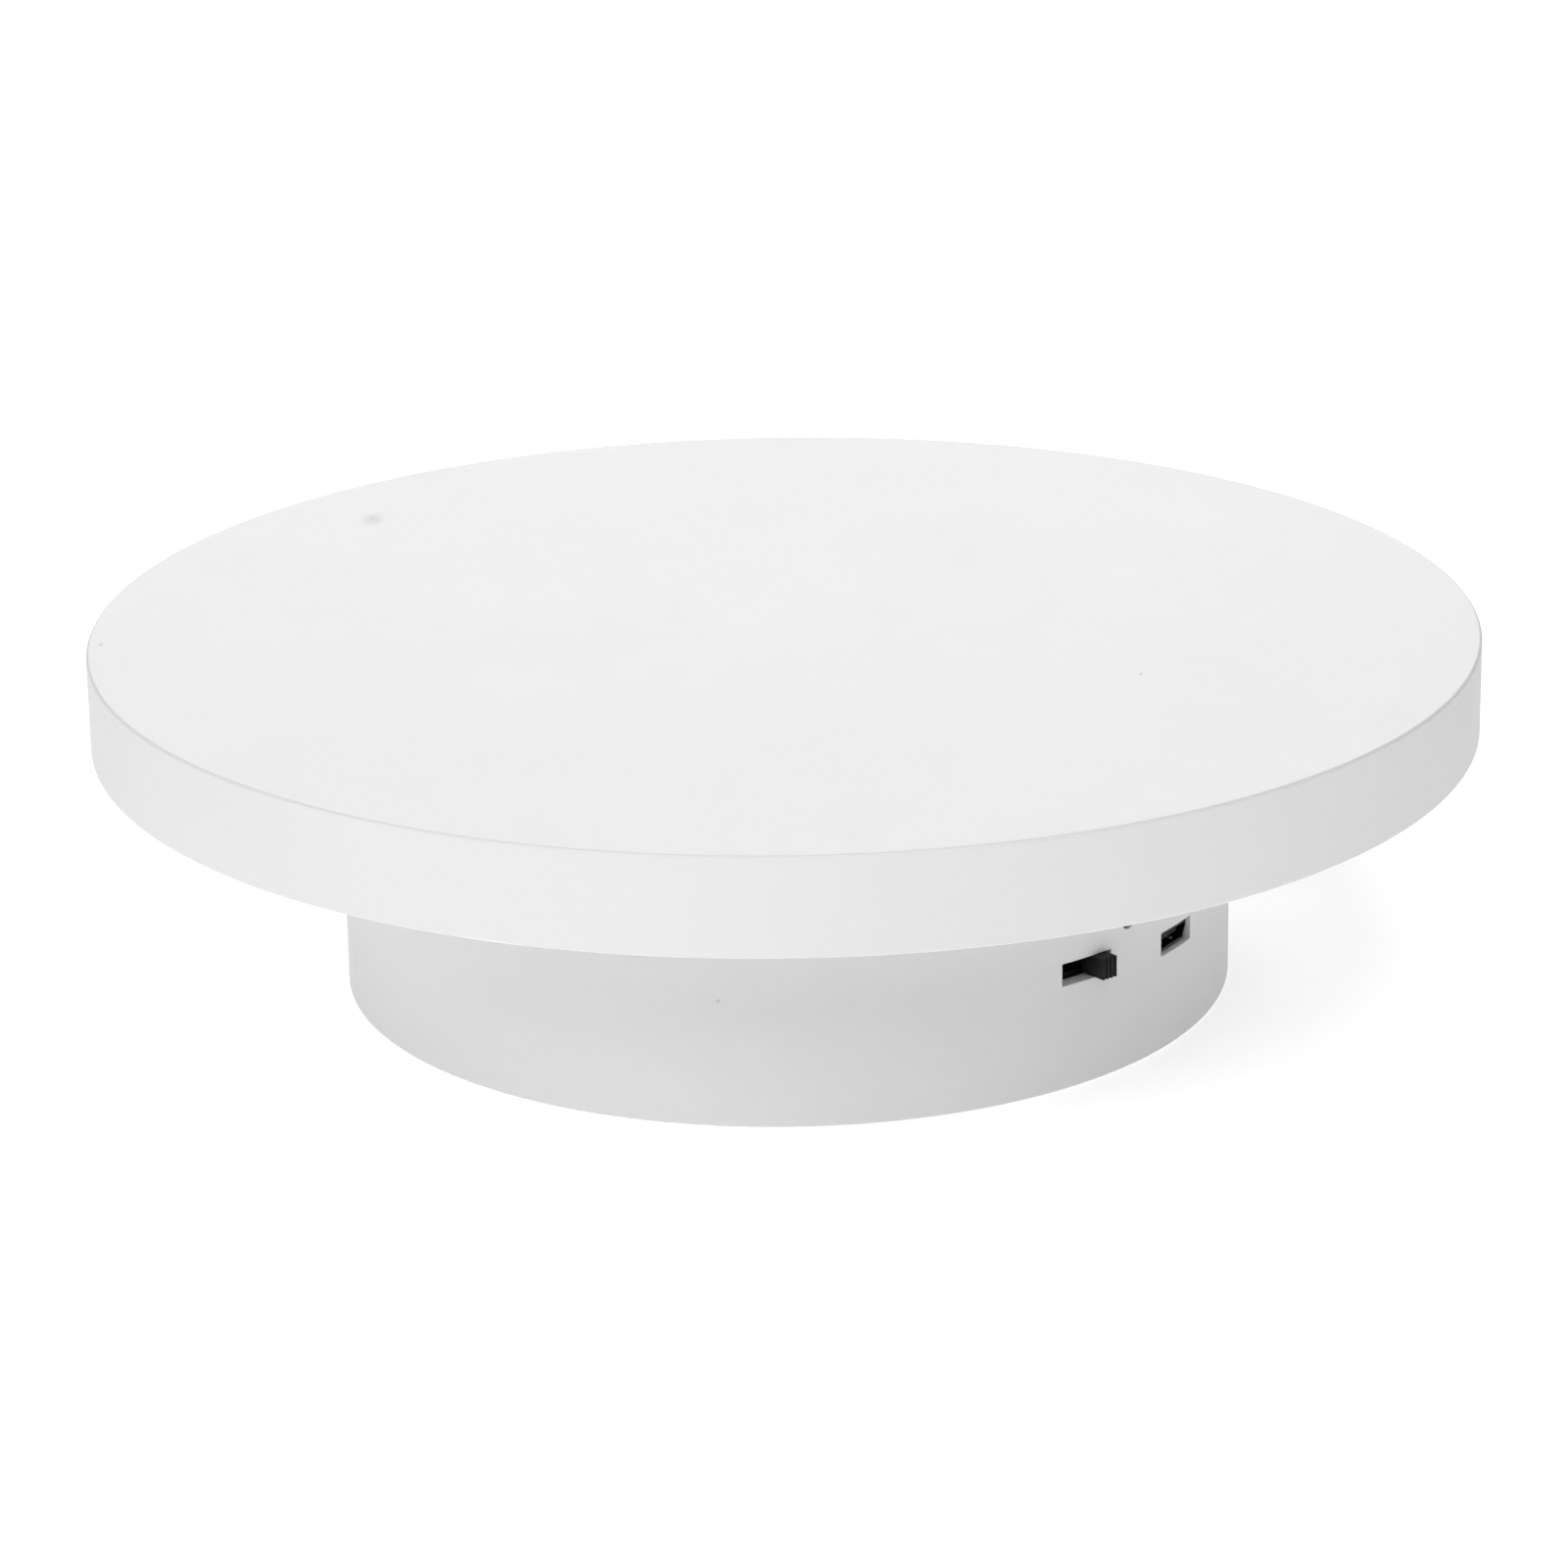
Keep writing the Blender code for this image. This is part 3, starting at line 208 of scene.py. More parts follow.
BOARD_SCREWS = [around(BOARD_SCREW_CIRCLE, angle) for angle in (33.0, 66.0)]
BALL_PLACES = [around(BALL_CIRCLE, 360.0 * i / BALL_COUNT) for i in range(BALL_COUNT)]


# ---- shapes


def new_object(name, shape):
    mesh = bpy.data.meshes.new(name)
    bmesh.ops.recalc_face_normals(shape, faces=shape.faces)
    shape.to_mesh(mesh)
    shape.free()
    obj = bpy.data.objects.new(name, mesh)
    bpy.context.scene.collection.objects.link(obj)
    return obj


def rounded(corners, steps=4, closed=True):
    """Corners of (x, y) or (x, y, radius) as the points of an outline with rounded corners."""
    made = []
    for i, corner in enumerate(corners):
        point = Vector(corner[:2])
        if len(corner) < 3 or (not closed and i in (0, len(corners) - 1)):
            made.append(tuple(point))
            continue
        before = (Vector(corners[i - 1][:2]) - point).normalized()
        after = (Vector(corners[(i + 1) % len(corners)][:2]) - point).normalized()
        half = before.angle(after) / 2
        centre = point + (before + after).normalized() * (corner[2] / math.sin(half))
        start = point + before * (corner[2] / math.tan(half)) - centre
        end = point + after * (corner[2] / math.tan(half)) - centre
        sweep = math.atan2(start.cross(end), start.dot(end))
        for step in range(steps + 1):
            turn = Matrix.Rotation(sweep * step / steps, 2)
            made.append(tuple(centre + turn @ start))
    return made


def arc(centre, radius, start, end, steps):
    """Points of an arc, with angles in degrees."""
    turns = [math.radians(start + (end - start) * i / steps) for i in range(steps + 1)]
    return [(centre[0] + radius * math.cos(a), centre[1] + radius * math.sin(a)) for a in turns]


def circle(radius, sides=SMALL_SIDES, centre=AXIS):
    return arc(centre, radius, 0.0, 360.0 * (sides - 1) / sides, sides - 1)


def add_rings(shape, rings, capped):
    """Skins a list of rings of points, and closes it with end caps or back onto its first ring."""
    made = []
    for ring in rings:
        made.append([shape.verts.new([value * MM for value in point]) for point in ring])
    pairs = list(zip(made, made[1:]))
    if capped:
        shape.faces.new(made[0])
        shape.faces.new(made[-1])
    else:
        pairs.append((made[-1], made[0]))
    for one, other in pairs:
        for i in range(len(one)):
            j = (i + 1) % len(one)
            shape.faces.new((one[i], other[i], other[j], one[j]))


def lathe(name, profile, sides=SMALL_SIDES):
    """A profile of (radius, height) turned about Z. One with its ends on the axis is closed there."""
    shape = bmesh.new()
    turns = [math.tau * i / sides for i in range(sides)]
    rows = []
    for radius, height in profile:
        if radius < 1e-6:
            rows.append([shape.verts.new((0.0, 0.0, height * MM))] * sides)
            continue
        spots = [(radius * math.cos(a) * MM, radius * math.sin(a) * MM, height * MM) for a in turns]
        rows.append([shape.verts.new(spot) for spot in spots])
    pairs = list(zip(rows, rows[1:]))
    if profile[0][0] > 1e-6:
        pairs.append((rows[-1], rows[0]))
    for one, other in pairs:
        for i in range(sides):
            j = (i + 1) % sides
            corners = list(dict.fromkeys((one[i], other[i], other[j], one[j])))
            shape.faces.new(corners)
    return new_object(name, shape)


def turned(name, corners, sides=SMALL_SIDES, steps=4):
    """A lathe of corners, each (radius, height) or (radius, height, rounding)."""
    return lathe(name, rounded(corners, steps, closed=corners[0][0] > 0.0), sides)


def tube(name, inner, outer, low, high, edge, sides=SMALL_SIDES):
    corners = [(inner, high, edge), (outer, high, edge), (outer, low, edge), (inner, low, edge)]
    return turned(name, corners, sides)


def rod(name, radius, low, high):
    return turned(name, [(0.0, high), (radius, high, 0.2), (radius, low, 0.2), (0.0, low)])


def inset(outline, distance):
    """An anticlockwise outline moved inwards."""
    moved = []
    for i, point in enumerate(outline):
        here = Vector(point)
        before = here - Vector(outline[i - 1])
        after = Vector(outline[(i + 1) % len(outline)]) - here
        first = Vector((-before.y, before.x)).normalized()
        second = Vector((-after.y, after.x)).normalized()
        moved.append(tuple(here + (first + second) * distance / (1.0 + first.dot(second))))
    return moved


def divided(outline, longest):
    """The outline with its long sides divided, so that it can follow a curved wall."""
    made = []
    for point, after in zip(outline, outline[1:] + outline[:1]):
        count = math.ceil(math.dist(point, after) / longest)
        made += [tuple(a + (b - a) * i / count for a, b in zip(point, after)) for i in range(count)]
    return made


def slab(name, outline, low, high, edge=0.0, steps=3):
    """An anticlockwise outline extruded from low to high, with rounded ends."""
    rings = []
    for step in range(steps + 1 if edge else 1):
        turn = math.pi / 2 * step / steps if edge else 0.0
        ring = inset(outline, edge * (1.0 - math.sin(turn)))
        rings.append((ring, edge * (1.0 - math.cos(turn))))
    rows = [[(x, y, low + depth) for x, y in ring] for ring, depth in rings]
    rows += [[(x, y, high - depth) for x, y in ring] for ring, depth in reversed(rings)]
    shape = bmesh.new()
    add_rings(shape, rows, capped=True)
    return new_object(name, shape)


def add_block(shape, low, high, edge=0.0):
    """An upright box between two corners, with rounded edges."""
    size = [(b - a) * MM for a, b in zip(low, high)]
    middle = [(a + b) / 2 * MM for a, b in zip(low, high)]
    place = Matrix.Translation(middle) @ Matrix.Diagonal((*size, 1.0))
    made = bmesh.ops.create_cube(shape, size=1.0, matrix=place)["verts"]
    if edge:
        edges = list({side for corner in made for side in corner.link_edges})
        bmesh.ops.bevel(shape, geom=edges, offset=edge * MM, segments=3, profile=0.5, affect="EDGES")


def box(middle, half, front, back, low, high):
    """The low and the high corner of a box that reaches half to each side of middle."""
    return (middle - half, front, low), (middle + half, back, high)


def blocks(name, corners, edge=0.0):
    """One object of boxes, each (low corner, high corner)."""
    shape = bmesh.new()
    for low, high in corners:
        add_block(shape, low, high, edge)
    return new_object(name, shape)


def discs(name, sizes, sides=SMALL_SIDES):
    """Plain cylinders to cut or join with. Each size is (radius, low, high) and then its centres."""
    shape = bmesh.new()
    for radius, low, high, *centres in sizes:
        for centre in centres:
            rows = [[(x, y, z) for x, y in circle(radius, sides, centre)] for z in (low, high)]
            add_rings(shape, rows, capped=True)
    return new_object(name, shape)


def combine(target, operation, *helpers):
    """Joins helpers to the target or cuts them out of it, and removes them."""
    for helper in helpers:
        modifier = target.modifiers.new("combine", "BOOLEAN")
        modifier.operation = operation
        modifier.solver = "MANIFOLD"
        modifier.object = helper
    bpy.context.view_layer.update()
    graph = bpy.context.evaluated_depsgraph_get()
    mesh = bpy.data.meshes.new_from_object(target.evaluated_get(graph))
    target.modifiers.clear()
    target.data = mesh
    for helper in helpers:
        bpy.data.objects.remove(helper, do_unlink=True)
    return target


def join(target, *helpers):
    return combine(target, "UNION", *helpers)


def cut(target, *helpers):
    return combine(target, "DIFFERENCE", *helpers)


def drill(target, holes, sides=SMALL_SIDES):
    """Cuts plain round holes, with sizes as discs has them."""
    cut(target, discs("holes", holes, sides))


def show(obj, body, slot, place=RIGHT_AT_REST, finish=None):
    """Shows an object as a piece of this body, in this slot's material. fine_X stands for the CAD's X."""
    obj.matrix_world = place
    if obj.type == "MESH":
        obj.data.shade_smooth()
        obj.data.set_sharp_from_angle(angle=math.radians(CREASE))
        even = obj.modifiers.new("even_normals", "WEIGHTED_NORMAL")
        even.keep_sharp = True
    obj.data.materials.clear()
    obj.data.materials.append(finish or FINISHES[slot])
    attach(obj, body)
    if obj.name.startswith(FINE):
        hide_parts(obj.name.removeprefix(FINE))


# ---- material parts


def add_node(tree, kind, inputs=None, **settings):
    """A shader node. inputs maps a socket's name or number to a value or to a socket that feeds it."""
    node = tree.nodes.new(kind)
    for key, value in settings.items():
        setattr(node, key, value)
    for key, value in (inputs or {}).items():
        if isinstance(value, bpy.types.NodeSocket):
            tree.links.new(value, node.inputs[key])
        else:
            node.inputs[key].default_value = value
    return node


def new_material(name):
    made = bpy.data.materials.new(name)
    made.use_nodes = True
    return made, made.node_tree, made.node_tree.nodes["Principled BSDF"]


def spot_in(tree, stretch=(1.0, 1.0, 1.0)):
    """The point on the piece, in metres and in its own frame."""
    point = add_node(tree, "ShaderNodeTexCoord").outputs["Object"]
    if stretch == (1.0, 1.0, 1.0):
        return point
    return add_node(tree, "ShaderNodeMapping", {"Vector": point, "Scale": stretch}).outputs[0]


def noise(tree, size, detail=2.0, stretch=(1.0, 1.0, 1.0)):
    """A wandering value whose patches are about this many millimetres across."""
    inputs = {"Vector": spot_in(tree, stretch), "Scale": 1.0 / (size * MM), "Detail": detail}
    return add_node(tree, "ShaderNodeTexNoise", inputs).outputs[0]


def remap(tree, value, start, end, low=0.0, high=1.0, kind="LINEAR"):
    """value from start to end, as low to high."""
    inputs = {"Value": value, "From Min": start, "From Max": end, "To Min": low, "To Max": high}
    node = add_node(tree, "ShaderNodeMapRange", inputs, interpolation_type=kind)
    return node.outputs["Result"]


def wander(tree, size, detail, low, high):
    """A noise that wanders from low to high."""
    return remap(tree, noise(tree, size, detail), 0.3, 0.7, low, high)


def mix(tree, factor, first, second):
    """Two colours mixed. Sockets 0, 6 and 7 of the Mix node are its factor and its two colours."""
    return add_node(tree, "ShaderNodeMix", {0: factor, 6: first, 7: second}, data_type="RGBA").outputs[2]


def arithmetic(tree, operation, first, second):
    return add_node(tree, "ShaderNodeMath", {0: first, 1: second}, operation=operation).outputs[0]


def edges(tree):
    """1 on sharp outward edges and 0 on flat faces."""
    pointed = add_node(tree, "ShaderNodeNewGeometry").outputs["Pointiness"]
    return remap(tree, pointed, 0.52, 0.56)


def relief(tree, shader, height, distance):
    """A height from 0 to 1 as bumps this many millimetres high."""
    bump = add_node(tree, "ShaderNodeBump", {"Height": height, "Distance": distance * MM, "Strength": 1.0})
    tree.links.new(bump.outputs["Normal"], shader.inputs["Normal"])


def feed(tree, shader, **sockets):
    names = {"colour": "Base Color", "roughness": "Roughness"}
    for key, value in sockets.items():
        tree.links.new(value, shader.inputs[names[key]])


def moulded(name, colour, other, roughness, grain, height, worn=None, gloss=0.5):
    """Moulded plastic: colour drifts in soft patches, with a fine spark-eroded grain and worn edges."""
    made, tree, shader = new_material(name)
    shader.inputs["Specular IOR Level"].default_value = gloss
    drift = noise(tree, 34.0, 3.0)
    speckle = noise(tree, grain * 1.7, 1.0)
    patches = remap(tree, drift, 0.35, 0.65)
    amount = arithmetic(tree, "MULTIPLY", patches, remap(tree, speckle, 0.3, 0.7, 0.5, 1.0))
    tint = mix(tree, amount, colour, other)
    rub = arithmetic(tree, "MULTIPLY", edges(tree), remap(tree, noise(tree, 3.0), 0.35, 0.6))
    tint = mix(tree, rub, tint, worn or colour)
    rough = wander(tree, 6.0, 3.0, *roughness)
    feed(tree, shader, colour=tint, roughness=rough)
    relief(tree, shader, noise(tree, grain, 2.0), height)
    return made


def machined(name, colour, other, roughness, groove, height, marks=2.0):
    """Turned metal: fine rings around the piece's own axis, dull patches and brighter edges."""
    made, tree, shader = new_material(name)
    shader.inputs["Metallic"].default_value = 1.0
    wave = {"Vector": spot_in(tree), "Scale": 1.0 / (groove * MM), "Distortion": 1.5, "Detail": 2.0}
    rings = add_node(tree, "ShaderNodeTexWave", wave, wave_type="RINGS", rings_direction="Z").outputs[1]
    patch = noise(tree, marks, 4.0)
    tint = mix(tree, remap(tree, patch, 0.35, 0.7), colour, other)
    tint = mix(tree, edges(tree), tint, [min(1.0, value * 1.2) for value in colour[:3]] + [1.0])
    rough = wander(tree, marks * 0.6, 3.0, *roughness)
    feed(tree, shader, colour=tint, roughness=rough)
    relief(tree, shader, rings, height)
    return made


def mark(tree, centre, half, softness):
    """1 at centre, falling to 0 at half, the half widths of a soft spot. All three are in millimetres."""
    point = add_node(tree, "ShaderNodeTexCoord").outputs["Object"]
    offset = {0: point, 1: [-value * MM for value in centre]}
    point = add_node(tree, "ShaderNodeVectorMath", offset, operation="ADD").outputs[0]
    scale = {0: point, 1: [1.0 / (value * MM) for value in half]}
    point = add_node(tree, "ShaderNodeVectorMath", scale, operation="MULTIPLY").outputs[0]
    reach = add_node(tree, "ShaderNodeVectorMath", {0: point}, operation="LENGTH").outputs["Value"]
    return remap(tree, reach, 1.0, 1.0 - softness, kind="SMOOTHSTEP")


# ---- materials


def grey(value, blue=0.0):
    """A grey, or with blue above 0 a slightly cool one."""
    return (value, value, value + blue, 1.0)


WHITE = grey(0.80)
WHITE_SHADE = grey(0.785)
# A near-white painted highlight colour for sharp outward edges.
WHITE_PAINTED_EDGE_HIGHLIGHT = grey(0.93)


def white_abs(name, marks=(), painted_edge_highlight=False):
    """The turntable's white shell. Each mark is (centre, half widths, softness, colour, strength)."""
    made = moulded(name, WHITE, WHITE_SHADE, (0.5, 0.52), 0.42, 0.005)
    tree = made.node_tree
    shader = tree.nodes["Principled BSDF"]
    tint = shader.inputs["Base Color"].links[0].from_socket
    # Painted highlight: sharp outward edges are brightened in colour towards a near-white, and are also
    # made a little glossier.
    if painted_edge_highlight:
        highlight_and_gloss_edges = edges(tree)
        rough = shader.inputs["Roughness"].links[0].from_socket
        tint = mix(tree, highlight_and_gloss_edges, tint, WHITE_PAINTED_EDGE_HIGHLIGHT)
        shine = arithmetic(tree, "MULTIPLY", highlight_and_gloss_edges, 0.2)
        feed(tree, shader, roughness=arithmetic(tree, "SUBTRACT", rough, shine))
    for centre, half, softness, colour, strength in marks:
        amount = mark(tree, centre, half, softness)
        broken = wander(tree, half[0] * 0.8, 3.0, strength * 0.55, strength)
        tint = mix(tree, arithmetic(tree, "MULTIPLY", amount, broken), tint, colour)
    feed(tree, shader, colour=tint)
    return made


def rubber():
    made, tree, shader = new_material("rubber_look")
    dust = remap(tree, noise(tree, 1.4, 4.0), 0.52, 0.75)
    tint = mix(tree, dust, grey(0.028, 0.001), (0.11, 0.108, 0.104, 1.0))
    feed(tree, shader, colour=tint, roughness=wander(tree, 0.8, 2.0, 0.74, 0.92))
    relief(tree, shader, noise(tree, 0.25, 3.0), 0.02)
    return made


def polished_steel():
    made, tree, shader = new_material("ball_steel_look")
    shader.inputs["Metallic"].default_value = 1.0
    scratches = remap(tree, noise(tree, 0.5, 4.0, (1.0, 9.0, 1.0)), 0.58, 0.64)
    tint = mix(tree, scratches, (0.74, 0.745, 0.75, 1.0), grey(0.6, 0.01))
    feed(tree, shader, colour=tint, roughness=remap(tree, scratches, 0.0, 1.0, 0.06, 0.2))
    relief(tree, shader, scratches, 0.001)
    return made


def circuit_board():
    """Green lacquer over copper runs, which stand out as paler, slightly raised lines."""
    made, tree, shader = new_material("board_look")
    runs = []
    for turn, size in (((1.0, 0.0, 0.0), 1.9), ((0.0, 1.0, 0.0), 2.3)):
        stretch = tuple(0.06 + 0.94 * value for value in turn)
        lines = noise(tree, size, 0.0, stretch)
        runs.append(remap(tree, lines, 0.56, 0.58))
    copper = arithmetic(tree, "MAXIMUM", *runs)
    mottle = wander(tree, 5.0, 3.0, 0.0, 1.0)
    lacquer = mix(tree, mottle, (0.012, 0.13, 0.05, 1.0), (0.018, 0.17, 0.07, 1.0))
    tint = mix(tree, copper, lacquer, (0.05, 0.27, 0.1, 1.0))
    feed(tree, shader, colour=tint, roughness=remap(tree, mottle, 0.0, 1.0, 0.28, 0.42))
    relief(tree, shader, copper, 0.03)
    return made


def clear_resin():
    made, tree, shader = new_material("led_clear_look")
    shader.inputs["Transmission Weight"].default_value = 0.85
    shader.inputs["IOR"].default_value = 1.54
    cloud = remap(tree, noise(tree, 0.9, 3.0), 0.35, 0.7)
    tint = mix(tree, cloud, (0.3, 0.31, 0.31, 1.0), (0.24, 0.25, 0.25, 1.0))
    feed(tree, shader, colour=tint, roughness=remap(tree, cloud, 0.0, 1.0, 0.05, 0.16))
    relief(tree, shader, noise(tree, 0.4), 0.004)
    return made


def shrink_sleeve():
    """Heat-shrunk film: glossy, with fine creases that run around the cell towards its ends."""
    made, tree, shader = new_material("cell_sleeve_look")
    shader.inputs["Coat Weight"].default_value = 0.25
    creases = remap(tree, noise(tree, 2.2, 4.0, (1.0, 1.0, 5.0)), 0.52, 0.7)
    tint = mix(tree, creases, (0.018, 0.1, 0.3, 1.0), (0.03, 0.15, 0.4, 1.0))
    feed(tree, shader, colour=tint, roughness=remap(tree, creases, 0.0, 1.0, 0.26, 0.4))
    relief(tree, shader, creases, 0.03)
    return made


def wire_skin(name, colour, other):
    made, tree, shader = new_material(name)
    streaks = remap(tree, noise(tree, 1.2, 3.0), 0.35, 0.7)
    feed(tree, shader, colour=mix(tree, streaks, colour, other))
    feed(tree, shader, roughness=wander(tree, 0.5, 2.0, 0.3, 0.46))
    relief(tree, shader, noise(tree, 0.3), 0.008)
    return made


def acetal():
    """Off-white gear plastic, a little waxy."""
    made = moulded("acetal_look", (0.8, 0.79, 0.75, 1.0), (0.74, 0.73, 0.69, 1.0), (0.28, 0.4), 0.3, 0.003)
    made.node_tree.nodes["Principled BSDF"].inputs["Coat Weight"].default_value = 0.15
    return made


SMUDGE = ((-62.8, 56.0, PLATTER_TOP), (2.3, 4.6, 2.0), 0.95, grey(0.52), 0.75)
TOP_SPECK = ((49.8, -26.5, PLATTER_TOP), (0.4, 0.7, 1.0), 0.8, grey(0.4), 0.8)
RIM_SPECK = ((-97.8, -6.1, PLATTER_TOP), (0.45, 0.8, 1.0), 0.8, grey(0.42), 0.8)
WALL_SPECK = ((*around(BASE_RADIUS, -8.6), BASE_BOTTOM + 18.4), (0.45, 0.8, 0.45), 0.8, grey(0.45), 0.6)

FINISHES = {
    "white_abs": white_abs("white_abs_look"),
    "steel": machined("steel_look", grey(0.6, 0.01), grey(0.5, 0.01), (0.22, 0.36), 0.35, 0.004),
    "screw_steel": machined(
        "screw_steel_look", (0.56, 0.56, 0.57, 1.0), grey(0.42, 0.01), (0.28, 0.46), 0.3, 0.006, 0.9
    ),
    "ball_steel": polished_steel(),
    "rubber": rubber(),
    "brass": machined(
        "brass_look", (0.72, 0.5, 0.2, 1.0), (0.58, 0.38, 0.15, 1.0), (0.24, 0.38), 0.3, 0.004
    ),
    "black_plastic": moulded(
        "black_plastic_look", grey(0.007, 0.0005), grey(0.011, 0.0005), (0.5, 0.68), 0.2, 0.008,
        worn=grey(0.02, 0.001), gloss=0.22,
    ),
    "inner_abs": moulded(
        "inner_abs_look", (0.6, 0.6, 0.59, 1.0), (0.53, 0.53, 0.52, 1.0), (0.4, 0.55), 0.5, 0.012
    ),
    "acetal": acetal(),
    "board": circuit_board(),
    "led_clear": clear_resin(),
    "cell_sleeve": shrink_sleeve(),
    "red_pvc": wire_skin("red_pvc_look", (0.42, 0.012, 0.012, 1.0), (0.52, 0.03, 0.025, 1.0)),
    "black_pvc": wire_skin("black_pvc_look", (0.012, 0.012, 0.013, 1.0), grey(0.024, 0.001)),
}
# The platter's sharp edges carry the painted highlight.
PLATTER_LOOK = white_abs("platter_look", (SMUDGE, TOP_SPECK, RIM_SPECK), painted_edge_highlight=True)
HOUSING_LOOK = white_abs("housing_look", (WALL_SPECK,))
# Painted shade: a near-black steel for the socket's shell, which darkens the socket's mouth as shade would.
PAINTED_SHADE_STEEL_LOOK = machined(
    "dark_steel_look", (0.05, 0.05, 0.052, 1.0), grey(0.03, 0.001), (0.34, 0.5), 0.3, 0.004
)


# ---- screws


def screw(name, head_radius, head_height, length, shank):
    """A cross-head screw that points down, with the top of its head at 0 and a threaded shank."""
    pitch = 0.32 * shank + 0.3
    root = 0.84 * shank
    under = -head_height
    tip = under - length
    head = [(0.0, 0.0), (head_radius, 0.0, head_height * 0.55), (head_radius, under, 0.12), (root, under)]
    profile = rounded(head, closed=False)
    height = under - 0.4 * pitch
    while height - pitch > tip + shank:
        profile += [(root, height), (shank, height - 0.35 * pitch), (shank, height - 0.5 * pitch)]
        profile.append((root, height - 0.85 * pitch))
        height -= pitch
    profile += [(root, tip + 0.8 * shank), (0.3 * root, tip), (0.0, tip)]
    made = lathe(name, profile, TINY_SIDES)
    long, wide = 0.62 * head_radius, 0.13 * head_radius
    deep = -0.6 * head_height
    blades = [((-long, -wide, deep), (long, wide, 1.0)), ((-wide, -long, deep), (wide, long, 1.0))]
    for blade in blades:
        cut(made, blocks("recess", [blade]))
    return made


def show_screw(node, body, centre, head, tip, head_radius, shank=1.2):
    """A screw whose head spans the heights in head, pointing up or down to tip."""
    up = tip > head[1]
    length = tip - head[1] if up else head[0] - tip
    made = screw(FINE + node, head_radius, round(head[1] - head[0], 6), length, shank)
    place = at(*centre, head[0]) @ UPSIDE_DOWN if up else at(*centre, head[1])
    show(made, body, "screw_steel", place)


def fixings():
    """Every screw. Each row is a name, a body, centres, the heights of head and tip, and two radii."""
    cover = SCREW_POCKET_TOP - GAP
    board = BOARD_TOP + GAP
    ear = GEARBOX_FLOOR - GAP
    hub = HUB_FLANGE_BOTTOM - GAP
    ring = RING_BOTTOM + GAP
    in_platter = PLATTER_TOP - 1.4
    rows = (
        ("cover_screw", "base", COVER_SCREWS, (cover - 1.4, cover), 17.0, 2.6, 1.2),
        ("board_screw", "base", BOARD_SCREWS, (board, board + 1.3), 6.0, 2.4, 1.2),
        ("gearbox_screw", "base", GEARBOX_EARS, (ear - 1.5, ear), DECK_TOP - 2.0, 2.5, 1.2),
        ("hub_screw", "turning_platter", HUB_SCREWS, (hub - 1.3, hub), in_platter, 2.0, 1.0),
        ("ring_gear_screw", "turning_platter", RING_SCREWS, (ring, ring + 1.2), in_platter, 1.9, 1.0),
    )
    for name, body, centres, *sizes in rows:
        for number, centre in enumerate(centres, 1):
            show_screw(f"{name}_{number}", body, centre, *sizes)
    head = (POST_BOTTOM - 3.3, POST_BOTTOM - 1.6)
    show_screw("retaining_screw", "turning_platter", AXIS, head, POST_BOTTOM + 8.0, 3.2)


# ---- platter


def platter():
    rib = BALL_CIRCLE + RACE_HALF_WIDTH + 2 * GAP
    rib_bottom = PLATTER_UNDERSIDE - 1.5
    corners = [
        (0.0, PLATTER_TOP),
        (PLATTER_RADIUS, PLATTER_TOP, 0.5),
        (PLATTER_RADIUS, PLATTER_BOTTOM, 0.35),
        (PLATTER_INNER_RADIUS, PLATTER_BOTTOM, 0.3),
        (PLATTER_INNER_RADIUS, PLATTER_UNDERSIDE, 1.0),
        (rib + 1.2, PLATTER_UNDERSIDE, 0.4),
        (rib + 1.2, rib_bottom, 0.2),
        (rib, rib_bottom, 0.2),
        (rib, PLATTER_UNDERSIDE, 0.3),
        (0.0, PLATTER_UNDERSIDE),
    ]
    dish = turned("fine_platter", corners, WIDE_SIDES, 6)
    low, high = PLATTER_UNDERSIDE - 1.0, PLATTER_TOP - 1.0
    drill(dish, [(FINE_HOLE, low, high, *HUB_SCREWS, *RING_SCREWS)], TINY_SIDES)
    show(dish, "turning_platter", "white_abs", finish=PLATTER_LOOK)


# ---- base


